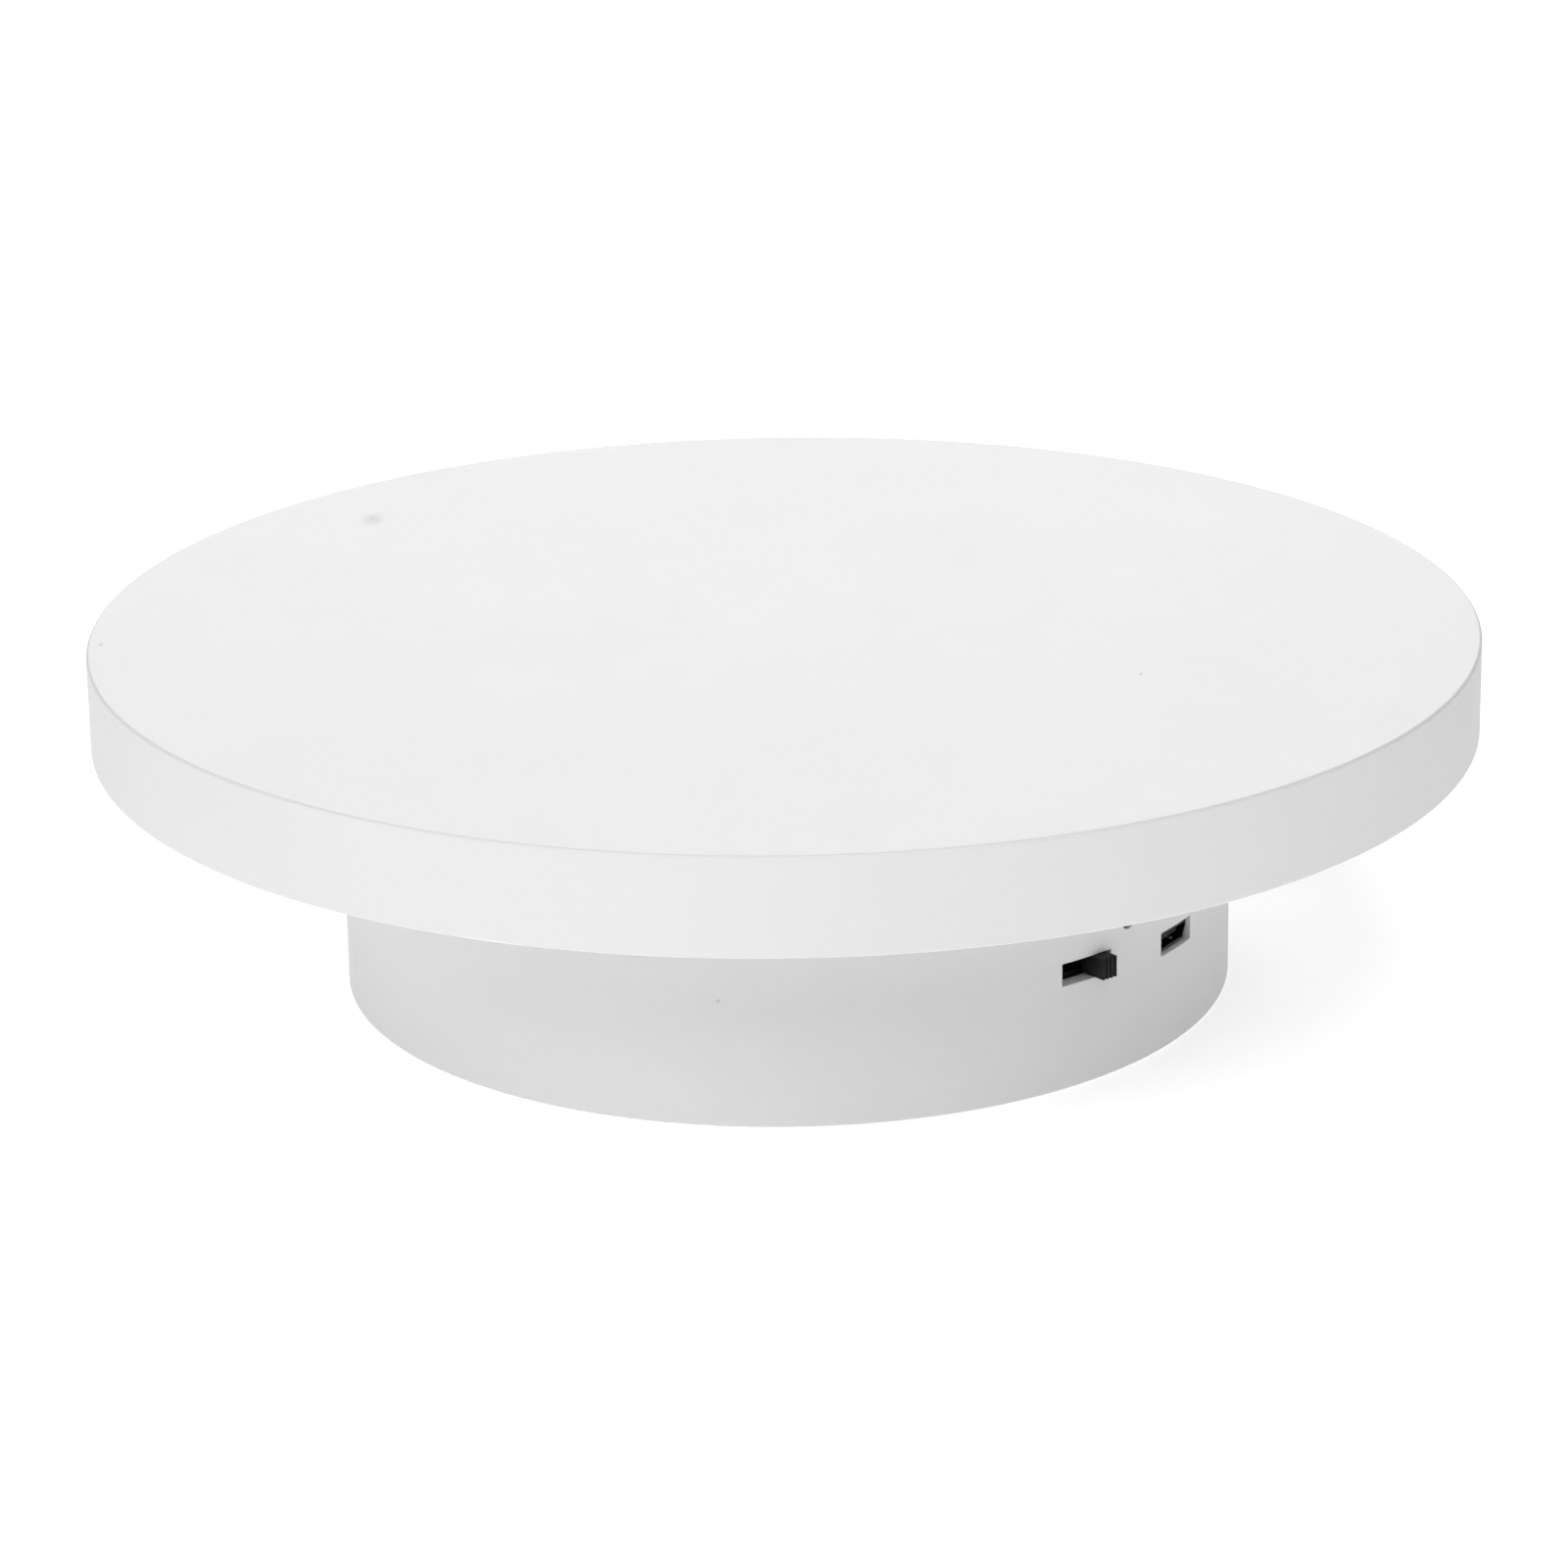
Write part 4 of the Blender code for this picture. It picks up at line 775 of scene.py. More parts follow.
def base_housing():
    half_race = RACE_HALF_WIDTH + 2 * GAP
    recess = DECK_TOP - 0.6
    corners = [
        (POST_RADIUS, DECK_TOP, 0.3),
        (BALL_CIRCLE - half_race, DECK_TOP, 0.15),
        (BALL_CIRCLE - half_race, recess, 0.15),
        (BALL_CIRCLE + half_race, recess, 0.15),
        (BALL_CIRCLE + half_race, DECK_TOP, 0.15),
        (BASE_RADIUS, DECK_TOP, 0.8),
        *[(BASE_RADIUS, DECK_TOP - 2.0 * row) for row in range(1, 20)],
        (BASE_RADIUS, BASE_BOTTOM, 0.4),
        (BASE_INNER_RADIUS, BASE_BOTTOM, 0.2),
        (BASE_INNER_RADIUS, DECK_UNDERSIDE, 0.8),
        (POST_RADIUS, DECK_UNDERSIDE, 0.3),
    ]
    shell = turned("fine_base_housing", corners, WIDE_SIDES, 5)
    inside = DECK_UNDERSIDE + 0.6
    bosses = [
        (11.0, CENTRE_BOSS_BOTTOM, inside, AXIS),
        (3.6, COVER_BOSS_TOP + GAP, inside, *COVER_SCREWS),
        (3.4, GEARBOX_TOP + GAP, inside, *GEARBOX_EARS),
    ]
    join(shell, discs("bosses", bosses))
    through = DECK_TOP + 1.0
    bores = [
        (BUSHING_RADIUS + GAP, CENTRE_BOSS_BOTTOM - 1.0, through, AXIS),
        (9.0, DECK_UNDERSIDE - 1.0, through, OUTPUT_CENTRE),
        (PILOT_RADIUS, COVER_BOSS_TOP - 1.0, 19.0, *COVER_SCREWS),
        (PILOT_RADIUS, GEARBOX_TOP - 1.0, DECK_TOP - 1.2, *GEARBOX_EARS),
    ]
    drill(shell, bores)
    slot = (SWITCH_SLOT_HALF_LENGTH, SWITCH_SLOT_LOW, SWITCH_SLOT_HIGH, 0.12)
    window = (SOCKET_HALF_LENGTH, SOCKET_LOW, SOCKET_HIGH, 0.3)
    radius = LED_HOLE_RADIUS
    hole = (radius, LED_HEIGHT - radius, LED_HEIGHT + radius, radius - 0.01)
    cut(shell, wall_opening(slot, SWITCH_ANGLE, 0.1))
    cut(shell, wall_opening(window, SOCKET_ANGLE, 0.15))
    cut(shell, wall_opening(hole, LED_ANGLE, 0.12))
    show(shell, "base", "white_abs", finish=HOUSING_LOOK)


def wall_opening(size, angle, edge):
    """A cutter for the base's wall. It flares at the outer surface, so that the opening's edge is rounded.

    size is (half length, low, high, corner radius).
    """
    half, low, high, corner = size
    corners = [(-half, low, corner), (half, low, corner), (half, high, corner), (-half, high, corner)]
    outline = divided(rounded(corners, 8), 0.5)
    depths = [(-1.0, edge)]
    for step in range(5):
        turn = math.pi / 2 * step / 4
        depths.append((edge * (1.0 - math.cos(turn)), edge * (1.0 - math.sin(turn))))
    depths.append((BASE_RADIUS - BASE_INNER_RADIUS + 2.0, 0.0))
    rows = []
    for depth, grow in depths:
        radius = BASE_RADIUS - depth
        rows.append([(x, -math.sqrt(radius * radius - x * x), z) for x, z in inset(outline, -grow)])
    shape = bmesh.new()
    add_rings(shape, rows, capped=True)
    opening = new_object("opening", shape)
    opening.matrix_world = facing(angle)
    return opening


def bottom_cover():
    radius = BASE_INNER_RADIUS - 2 * GAP
    corners = [(0.0, COVER_TOP), (radius, COVER_TOP, 0.3), (radius, COVER_BOTTOM, 0.5), (0.0, COVER_BOTTOM)]
    plate = turned("fine_bottom_cover", corners, WIDE_SIDES)
    inside = COVER_TOP - 0.6
    posts = [(4.5, inside, COVER_BOSS_TOP, *COVER_SCREWS), (3.0, inside, BOARD_BOTTOM - GAP, *BOARD_SCREWS)]
    join(plate, discs("bosses", posts))
    below = COVER_BOTTOM - 1.0
    pockets = [
        (FOOT_RADIUS + GAP, below, FOOT_POCKET_TOP, *FEET),
        (3.0, below, SCREW_POCKET_TOP, *COVER_SCREWS),
    ]
    drill(plate, pockets)
    holes = [
        (PILOT_RADIUS, below, COVER_BOSS_TOP + 1.0, *COVER_SCREWS),
        (PILOT_RADIUS, 4.5, BOARD_TOP, *BOARD_SCREWS),
    ]
    drill(plate, holes, TINY_SIDES)
    show(plate, "base", "white_abs")


def feet():
    top = FOOT_POCKET_TOP - GAP
    grooves = [(ring + step, 0.2 - abs(step), 0.06) for ring in (4.4, 2.4) for step in (0.2, 0.0, -0.2)]
    corners = [(0.0, top), (FOOT_RADIUS, top, 0.15), (FOOT_RADIUS, 0.0, 0.4), *grooves, (0.0, 0.0)]
    for number, centre in enumerate(FEET, 1):
        foot = turned(f"fine_rubber_foot_{number}", corners)
        show(foot, "base", "rubber", at(*centre))


# ---- ball race and centre bearing


def race(name, face, back):
    """A flat ring with a groove for the balls in its face."""
    inner, outer = BALL_CIRCLE - RACE_HALF_WIDTH, BALL_CIRCLE + RACE_HALF_WIDTH
    down = 1.0 if face < BALL_HEIGHT else -1.0
    reach = math.degrees(math.asin(abs(face - BALL_HEIGHT) / GROOVE_RADIUS))
    groove = arc((BALL_CIRCLE, BALL_HEIGHT), GROOVE_RADIUS, -180.0 + reach, -reach, 12)
    groove = [(x, BALL_HEIGHT + (y - BALL_HEIGHT) * down) for x, y in groove]
    corners = [(inner, face, 0.2), *groove, (outer, face, 0.2), (outer, back, 0.3), (inner, back, 0.3)]
    return turned(name, corners, RACE_SIDES)


def ball_race():
    face = RACE_BOTTOM + RACE_THICKNESS
    show(race("fine_lower_race", face, RACE_BOTTOM), "base", "steel")
    upper = race("fine_upper_race", 2 * BALL_HEIGHT - face, PLATTER_UNDERSIDE - GAP)
    show(upper, "turning_platter", "steel")
    inner, outer = BALL_CIRCLE - CAGE_HALF_WIDTH, BALL_CIRCLE + CAGE_HALF_WIDTH
    low, high = BALL_HEIGHT - CAGE_HALF_THICKNESS, BALL_HEIGHT + CAGE_HALF_THICKNESS
    cage = tube("fine_ball_cage", inner, outer, low, high, 0.25, RACE_SIDES)
    drill(cage, [(BALL_RADIUS + GAP, low - 1.0, high + 1.0, *BALL_PLACES)])
    show(cage, "ball_set", "black_plastic")
    for number, place in enumerate(BALL_PLACES, 1):
        shape = bmesh.new()
        bmesh.ops.create_cube(shape, size=1.0)
        bmesh.ops.subdivide_edges(shape, edges=shape.edges, cuts=11, use_grid_fill=True)
        for corner in shape.verts:
            corner.co = corner.co.normalized() * BALL_RADIUS * MM
        ball = new_object(f"fine_race_ball_{number}", shape)
        show(ball, "ball_set", "ball_steel", at(*place, BALL_HEIGHT))


def centre_bearing():
    flange_top = DECK_TOP + GAP + 1.2
    groove = (BUSHING_BOTTOM + flange_top) / 2
    corners = [
        (BUSHING_BORE, flange_top, 0.2),
        (BUSHING_FLANGE, flange_top, 0.3),
        (BUSHING_FLANGE, DECK_TOP + GAP, 0.15),
        (BUSHING_RADIUS, DECK_TOP + GAP, 0.15),
        (BUSHING_RADIUS, BUSHING_BOTTOM, 0.4),
        (BUSHING_BORE, BUSHING_BOTTOM, 0.2),
        (BUSHING_BORE, groove - 0.6, 0.1),
        (BUSHING_BORE + 0.35, groove - 0.4, 0.1),
        (BUSHING_BORE + 0.35, groove + 0.4, 0.1),
        (BUSHING_BORE, groove + 0.6, 0.1),
    ]
    show(turned("fine_centre_bushing", corners), "base", "brass")
    corners = [
        (0.0, HUB_FLANGE_TOP),
        (HUB_FLANGE_RADIUS, HUB_FLANGE_TOP, 0.2),
        (HUB_FLANGE_RADIUS, HUB_FLANGE_BOTTOM, 0.2),
        (POST_RADIUS, HUB_FLANGE_BOTTOM),
        (POST_RADIUS, POST_BOTTOM, 0.4),
        (PILOT_RADIUS, POST_BOTTOM, 0.15),
        (PILOT_RADIUS, POST_BOTTOM + 9.0),
        (0.0, POST_BOTTOM + 9.0),
    ]
    hub = turned("fine_platter_hub", corners)
    low, high = HUB_FLANGE_BOTTOM - 1.0, HUB_FLANGE_TOP + 1.0
    drill(hub, [(FINE_HOLE, low, high, *HUB_SCREWS)], TINY_SIDES)
    show(hub, "turning_platter", "steel")
    low, high = POST_BOTTOM - 1.3, POST_BOTTOM - GAP
    washer = tube("fine_retaining_washer", PILOT_RADIUS + GAP, 6.5, low, high, 0.2)
    show(washer, "turning_platter", "steel")


# ---- gears

FLANK = ((-ROOT_DEPTH, 0.35), (-0.9, 0.31), (-0.3, 0.235), (0.3, 0.175), (0.66, 0.12), (TIP_HEIGHT, 0.06))


def toothed(teeth, module, phase, inward=False):
    """The outline of a gear with curved flanks. phase is the angle of a tooth's centre, in radians."""
    out = -1.0 if inward else 1.0
    outline = []
    for tooth in range(teeth):
        middle = phase + math.tau * tooth / teeth
        flank = [(teeth * module / 2 + out * rise * module, share) for rise, share in FLANK]
        for radius, share in [(r, -s) for r, s in flank] + flank[::-1]:
            angle = middle + share * math.tau / teeth
            outline.append((radius * math.cos(angle), radius * math.sin(angle)))
    return outline


def phase_on_ring(direction):
    """The phase of the drive pinion inside the ring gear, whose own phase is 0."""
    turn = math.radians(direction)
    return turn - math.tau / DRIVE_TEETH * (0.5 + RING_TEETH * turn / math.tau)


def phase_beside(teeth, phase, other_teeth, direction):
    """The phase of a gear that meshes with one of this many teeth and phase, in this direction from it."""
    turn = math.radians(direction)
    return turn + math.pi - math.tau / other_teeth * (0.5 - teeth * (turn - phase) / math.tau)


def wheel(name, bottom):
    """A wheel with a thinned web between its rim and its hub."""
    top = bottom + WHEEL_THICKNESS
    made = slab(name, toothed(WHEEL_TEETH, FINE_MODULE, 0.0), bottom, top, 0.08, 2)
    for low, high in ((bottom - 1.0, bottom + 0.5), (top - 0.5, top + 1.0)):
        cut(made, tube("web", 4.4, 7.2, low, high, 0.2))
    return made


def compound_gear(node, body, centre, bottom, direction):
    """A wheel with a pinion on top of it, free to turn on an axle."""
    gear = wheel(FINE + node, bottom)
    top = bottom + STAGE_STEP + WHEEL_THICKNESS + 0.2
    phase = phase_beside(WHEEL_TEETH, 0.0, PINION_TEETH, direction)
    join(gear, slab("pinion", toothed(PINION_TEETH, FINE_MODULE, phase), bottom + 1.4, top, 0.08, 2))
    drill(gear, [(AXLE_HOLE, bottom - 1.0, top + 1.0, AXIS)], TINY_SIDES)
    show(gear, body, "acetal", at(*centre))


def ring_gear():
    high = PLATTER_UNDERSIDE - GAP
    gear = slab("fine_ring_gear", circle(RING_OUTER_RADIUS, 144), RING_BOTTOM, high, 0.25)
    teeth = toothed(RING_TEETH, RING_MODULE, 0.0, inward=True)
    cut(gear, slab("teeth", teeth, RING_BOTTOM - 1.0, high + 1.0))
    drill(gear, [(FINE_HOLE, RING_BOTTOM - 1.0, high + 1.0, *RING_SCREWS)], TINY_SIDES)
    drill(gear, [(2.2, RING_BOTTOM - 1.0, RING_BOTTOM + 1.8, *RING_SCREWS)], TINY_SIDES)
    show(gear, "turning_platter", "acetal")


def gear_train():
    output = wheel("fine_output_gear", OUTPUT_WHEEL_BOTTOM)
    pinion_bottom = DECK_TOP + 3.0
    corners = [
        (0.0, pinion_bottom + 0.6),
        (3.0, pinion_bottom + 0.6),
        (3.0, OUTPUT_WHEEL_BOTTOM + 1.2),
        (1.5, OUTPUT_WHEEL_BOTTOM + 1.2),
        (1.5, GEARBOX_FLOOR + 0.9, 0.2),
        (0.0, GEARBOX_FLOOR + 0.9),
    ]
    join(output, turned("shaft", corners))
    drive = toothed(DRIVE_TEETH, RING_MODULE, phase_on_ring(DRIVE_DIRECTION))
    join(output, slab("drive_pinion", drive, pinion_bottom, pinion_bottom + 5.4, 0.15, 2))
    show(output, "output_shaft", "acetal", at(*OUTPUT_CENTRE))
    first, second, third = TRAIN_DIRECTIONS
    compound_gear("reduction_gear_2", "second_reduction", SECOND_CENTRE, SECOND_WHEEL_BOTTOM, first)
    compound_gear("reduction_gear_1", "first_reduction", FIRST_CENTRE, FIRST_WHEEL_BOTTOM, second)
    teeth = toothed(PINION_TEETH, FINE_MODULE, phase_beside(WHEEL_TEETH, 0.0, PINION_TEETH, third))
    low, high = FIRST_WHEEL_BOTTOM - 0.3, FIRST_WHEEL_BOTTOM + WHEEL_THICKNESS + 0.3
    rotor = slab("fine_motor_pinion", teeth, low, high, 0.08, 2)
    join(rotor, rod("shaft", AXLE_RADIUS, GEARBOX_FLOOR - 10.0, FIRST_WHEEL_BOTTOM + 3.2))
    show(rotor, "motor_rotor", "brass", at(*MOTOR_CENTRE))
    for number, centre in enumerate((FIRST_CENTRE, SECOND_CENTRE), 1):
        axle = rod(f"fine_gear_axle_{number}", AXLE_RADIUS, GEARBOX_FLOOR + 0.9, GEARBOX_TOP - 0.8)
        show(axle, "base", "steel", at(*centre))


# ---- gearbox and motor


def hull(points):
    """The convex outline around points, anticlockwise."""
    points = sorted(set(points))

    def half(ordered):
        chain = []
        for x, y in ordered:
            while len(chain) > 1:
                (ax, ay), (bx, by) = chain[-2], chain[-1]
                if (bx - ax) * (y - ay) - (by - ay) * (x - ax) > 1e-9:
                    break
                chain.pop()
            chain.append((x, y))
        return chain[:-1]

    return half(points) + half(points[::-1])


def gearbox_outline(shrink=0.0):
    circles = [(centre, 12.4) for centre in (OUTPUT_CENTRE, SECOND_CENTRE, FIRST_CENTRE)]
    circles += [(MOTOR_CENTRE, 8.0), (GEARBOX_EARS[0], 4.2), (GEARBOX_EARS[1], 4.2)]
    points = []
    for centre, radius in circles:
        points += circle(radius - shrink, SMALL_SIDES, centre)
    return hull(points)


def gearbox():
    floor = GEARBOX_FLOOR + GEARBOX_WALL
    housing = slab("fine_gearbox_housing", gearbox_outline(), GEARBOX_FLOOR, GEARBOX_RIM, 0.3)
    cut(housing, slab("room", gearbox_outline(GEARBOX_WALL), floor, GEARBOX_RIM + 1.0))
    join(housing, discs("columns", [(3.0, floor - 0.6, GEARBOX_RIM, *GEARBOX_EARS)]))
    below = GEARBOX_FLOOR - 1.0
    holes = [
        (PILOT_RADIUS, below, GEARBOX_RIM + 1.0, *GEARBOX_EARS),
        (3.3, below, floor + 1.0, MOTOR_CENTRE),
        (1.7, GEARBOX_FLOOR + 0.6, floor + 1.0, OUTPUT_CENTRE),
        (AXLE_HOLE, GEARBOX_FLOOR + 0.6, floor + 1.0, FIRST_CENTRE, SECOND_CENTRE),
    ]
    drill(housing, holes)
    show(housing, "base", "inner_abs")
    bottom = GEARBOX_RIM + GAP
    lid = slab("fine_gearbox_cover", gearbox_outline(), bottom, GEARBOX_TOP, 0.25)
    low, high = bottom - 1.0, GEARBOX_TOP + 1.0
    holes = [
        (PILOT_RADIUS, low, high, *GEARBOX_EARS),
        (3.15, low, high, OUTPUT_CENTRE),
        (AXLE_HOLE, low, GEARBOX_TOP - 0.5, FIRST_CENTRE, SECOND_CENTRE),
    ]
    drill(lid, holes)
    show(lid, "base", "inner_abs")


def motor():
    bore = AXLE_RADIUS + GAP
    corners = [
        (bore, MOTOR_TOP + 1.2, 0.1),
        (3.0, MOTOR_TOP + 1.2, 0.25),
        (3.0, MOTOR_TOP, 0.1),
        (MOTOR_RADIUS, MOTOR_TOP, 1.4),
        (MOTOR_RADIUS, MOTOR_BOTTOM + 1.1, 0.1),
        (MOTOR_RADIUS - 0.25, MOTOR_BOTTOM + 1.0, 0.1),
        (MOTOR_RADIUS - 0.25, MOTOR_BOTTOM + 0.7, 0.1),
        (MOTOR_RADIUS, MOTOR_BOTTOM + 0.6, 0.1),
        (MOTOR_RADIUS, MOTOR_BOTTOM, 0.2),
        (bore, MOTOR_BOTTOM, 0.1),
    ]
    can = turned("fine_motor_can", corners, CAN_SIDES)
    drill(can, [(1.0, MOTOR_TOP - 0.5, MOTOR_TOP + 1.0, (-7.0, 0.0), (7.0, 0.0))], TINY_SIDES)
    show(can, "base", "steel", at(*MOTOR_CENTRE))
    top = MOTOR_BOTTOM - GAP
    corners = [
        (0.0, top),
        (MOTOR_RADIUS - 0.8, top, 0.1),
        (MOTOR_RADIUS - 0.8, top - 1.2, 0.3),
        (4.2, top - 1.2, 0.1),
        (4.0, top - 0.8, 0.1),
        (0.0, top - 0.8),
    ]
    cap = turned("fine_motor_end_cap", corners, CAN_SIDES)
    show(cap, "base", "black_plastic", at(*MOTOR_CENTRE))
    low, high = top - 3.0, top - 1.2
    tabs = [box(x, 1.3, -6.6, -5.9, low, high) for x in (-MOTOR_TAB, MOTOR_TAB)]
    show(blocks("motor_tabs", tabs, 0.12), "base", "brass", at(*MOTOR_CENTRE))


# ---- board and controls


def control_board():
    outline = [around(BASE_INNER_RADIUS - 0.9, 29.0 + 40.0 * i / 24) for i in range(25)]
    outline += [around(42.0, 70.0), around(40.0, 49.0), around(42.0, 28.0)]
    board = slab("fine_control_board", outline, BOARD_BOTTOM, BOARD_TOP, 0.1, 2)
    drill(board, [(PILOT_RADIUS, BOARD_BOTTOM - 1.0, BOARD_TOP + 1.0, *BOARD_SCREWS)])
    show(board, "base", "board")
    chip = blocks("board_chip", [box(0.0, 2.0, -2.5, 2.5, 0.25, 1.7)], 0.15)
    place = at(*around(51.5, 52.0), BOARD_TOP) @ facing(52.0)
    show(chip, "base", "black_plastic", place)
    pins = []
    for row in range(4):
        y = 1.27 * (row - 1.5)
        pins += [box(x, 0.525, y - 0.2, y + 0.2, 0.02, 0.2) for x in (-2.475, 2.475)]
    show(blocks("board_chip_pins", pins, 0.05), "base", "screw_steel", place)
    bodies, ends = [], []
    for x, y in ((-6.5, 3.2), (-6.5, 1.2), (-6.5, -0.8), (6.0, 3.0), (6.0, 1.0), (5.8, -1.2)):
        bodies.append(box(x, 0.5, y - 0.4, y + 0.4, 0.02, 0.5))
        ends += [box(x + off, 0.18, y - 0.42, y + 0.42, 0.02, 0.54) for off in (-0.72, 0.72)]
    show(blocks("board_resistors", bodies, 0.06), "base", "black_plastic", place)
    show(blocks("board_resistor_ends", ends, 0.06), "base", "screw_steel", place)
    for number, angle in enumerate((35.5, 63.5), 1):
        corners = [(0.0, 4.6), (1.9, 4.6, 0.3), (1.9, 1.1, 0.2), (1.7, 0.9, 0.1), (1.9, 0.7, 0.2)]
        corners += [(1.9, 0.05, 0.1), (0.0, 0.05)]
        can = turned(f"board_capacitor_{number}", corners)
        show(can, "base", "steel", at(*around(52.5, angle), BOARD_TOP))


def slide_switch():
    """The switch's body on the board, with the slider pocket in its front, and its pins."""
    front = BASE_INNER_RADIUS - 0.55
    low = BOARD_TOP + GAP
    body = blocks("fine_slide_switch_body", [box(0.0, 5.2, -front, 4.6 - front, low, low + 4.8)], 0.3)
    pocket = box(0.0, 3.8, -front - 1.0, 2.6 - front, SWITCH_HEIGHT - 1.0, SWITCH_HEIGHT + 1.0)
    cut(body, blocks("pocket", [pocket], 0.1))
    show(body, "base", "black_plastic", facing(SWITCH_ANGLE))
    pins = [box(x, 0.3, 1.9 - front, 2.5 - front, BOARD_BOTTOM - 0.9, low - 0.02) for x in (-2.5, 0.0, 2.5)]
    show(blocks("switch_pins", pins, 0.08), "base", "screw_steel", facing(SWITCH_ANGLE))


def switch_knob():
    """The knob with its upright ribs, and the slider behind it, at the right-hand end of the slot."""
    inner = BASE_INNER_RADIUS - 0.25
    half_height = (SWITCH_SLOT_HIGH - SWITCH_SLOT_LOW) / 2 - 0.12
    ribs, rib_depth, rib_steps = 4, 0.2, 6
    width = 2 * KNOB_HALF_WIDTH / (2 * ribs - 1)
    face = KNOB_TIP - rib_depth
    centre = (inner + KNOB_TIP) / 2
    outline = [(KNOB_HALF_WIDTH, -inner), (-KNOB_HALF_WIDTH, -inner)]
    for rib in range(ribs):
        left = -KNOB_HALF_WIDTH + 2 * rib * width
        for step in range(rib_steps + 1):
            turn = math.pi * step / rib_steps
            rise = rib_depth * math.sin(turn) ** 0.5
            outline.append((left + width * (1.0 - math.cos(turn)) / 2, -face - rise))
    outline = [(x, y + centre) for x, y in outline][::-1]
    knob = slab("fine_switch_knob", orient(outline), -half_height, half_height, 0.06, 2)
    back = centre - inner
    join(knob, blocks("slider", [box(0.0, 0.9, back - 0.6, back + 2.4, -0.8, 0.8)], 0.1))
    place = step_from(around(centre, SWITCH_ANGLE), SWITCH_TRAVEL / 2, SWITCH_ANGLE)
    show(knob, "knob", "black_plastic", at(*place, SWITCH_HEIGHT) @ facing(SWITCH_ANGLE))


def orient(outline):
    """The outline, anticlockwise."""
    area = sum(a[0] * b[1] - b[0] * a[1] for a, b in zip(outline, outline[1:] + outline[:1]))
    return outline if area > 0 else outline[::-1]


def socket_outline(half, low, high, in_by, up_by):
    """The shape of the socket's mouth: a rectangle with its two lower corners cut off at a steep slant."""
    corners = [
        (in_by - half, low, 0.2),
        (half - in_by, low, 0.2),
        (half, low + up_by, 0.2),
        (half, high, 0.25),
        (-half, high, 0.25),
        (-half, low + up_by, 0.2),
    ]
    return rounded(corners, 3)


def usb_socket():
    """The socket's metal shell, open at its mouth, with its tongue and contacts."""
    low = BOARD_TOP + GAP
    high = low + 2.6
    back = SOCKET_MOUTH - 5.4
    sheet = 0.3
    half = 4.1
    outer = socket_outline(half, low, high, 0.9, 1.7)
    shell = slab("fine_usb_socket_shell", outer, back, SOCKET_MOUTH, 0.12)
    inner = socket_outline(half - sheet, low + sheet, high - sheet, 0.8, 1.5)
    cut(shell, slab("hollow", inner, back - 1.0, SOCKET_MOUTH + 1.0))
    # The shell's near-black steel is painted shade in the socket's mouth.
    show(shell, "base", "steel", pointing(SOCKET_ANGLE), PAINTED_SHADE_STEEL_LOOK)
    middle = (low + high) / 2
    root = box(0.0, 2.8, -back - 1.6, -back, middle - 0.65, middle + 0.65)
    tongue = blocks("fine_usb_tongue", [root], 0.12)
    blade = box(0.0, 2.4, 0.6 - SOCKET_MOUTH, -back - 1.0, middle - 0.1, middle + 0.45)
    join(tongue, blocks("blade", [blade], 0.1))
    show(tongue, "base", "black_plastic", facing(SOCKET_ANGLE))
    front = 0.9 - SOCKET_MOUTH
    places = [0.65 * (number - 2) for number in range(5)]
    contacts = [box(x, 0.16, front, -back - 1.9, middle - 0.2, middle - 0.09) for x in places]
    show(blocks("usb_contacts", contacts, 0.03), "base", "brass", facing(SOCKET_ANGLE))
    floor = low + sheet
    springs = [box(x, 0.35, front, front + 1.5, floor - 0.1, floor + 0.22) for x in (-1.5, 1.5)]
    show(blocks("usb_springs", springs, 0.1), "base", "steel", facing(SOCKET_ANGLE))


def led_indicator():
    """A round lamp whose low lens fills its hole, held up off the board by its two legs."""
    tip = BASE_RADIUS - 0.25
    bottom = tip - 4.6
    turns = [math.pi / 16 * i for i in range(9)]
    dome = [(1.2 * math.sin(turn), tip - 0.4 * (1.0 - math.cos(turn))) for turn in turns]
    flange = [(1.2, tip - 3.0), (1.7, tip - 3.0, 0.1), (1.7, bottom, 0.15), (0.0, bottom)]
    lamp = lathe("fine_led_indicator", dome + rounded(flange, closed=False))
    show(lamp, "base", "led_clear", at(0.0, 0.0, LED_HEIGHT) @ pointing(LED_ANGLE))
    low = BOARD_TOP + 0.05
    legs = [box(x, 0.25, 0.05 - bottom, 0.55 - bottom, low, LED_HEIGHT) for x in (-0.9, 0.9)]
    show(blocks("led_legs", legs, 0.08), "base", "screw_steel", facing(LED_ANGLE))


# ---- battery and leads


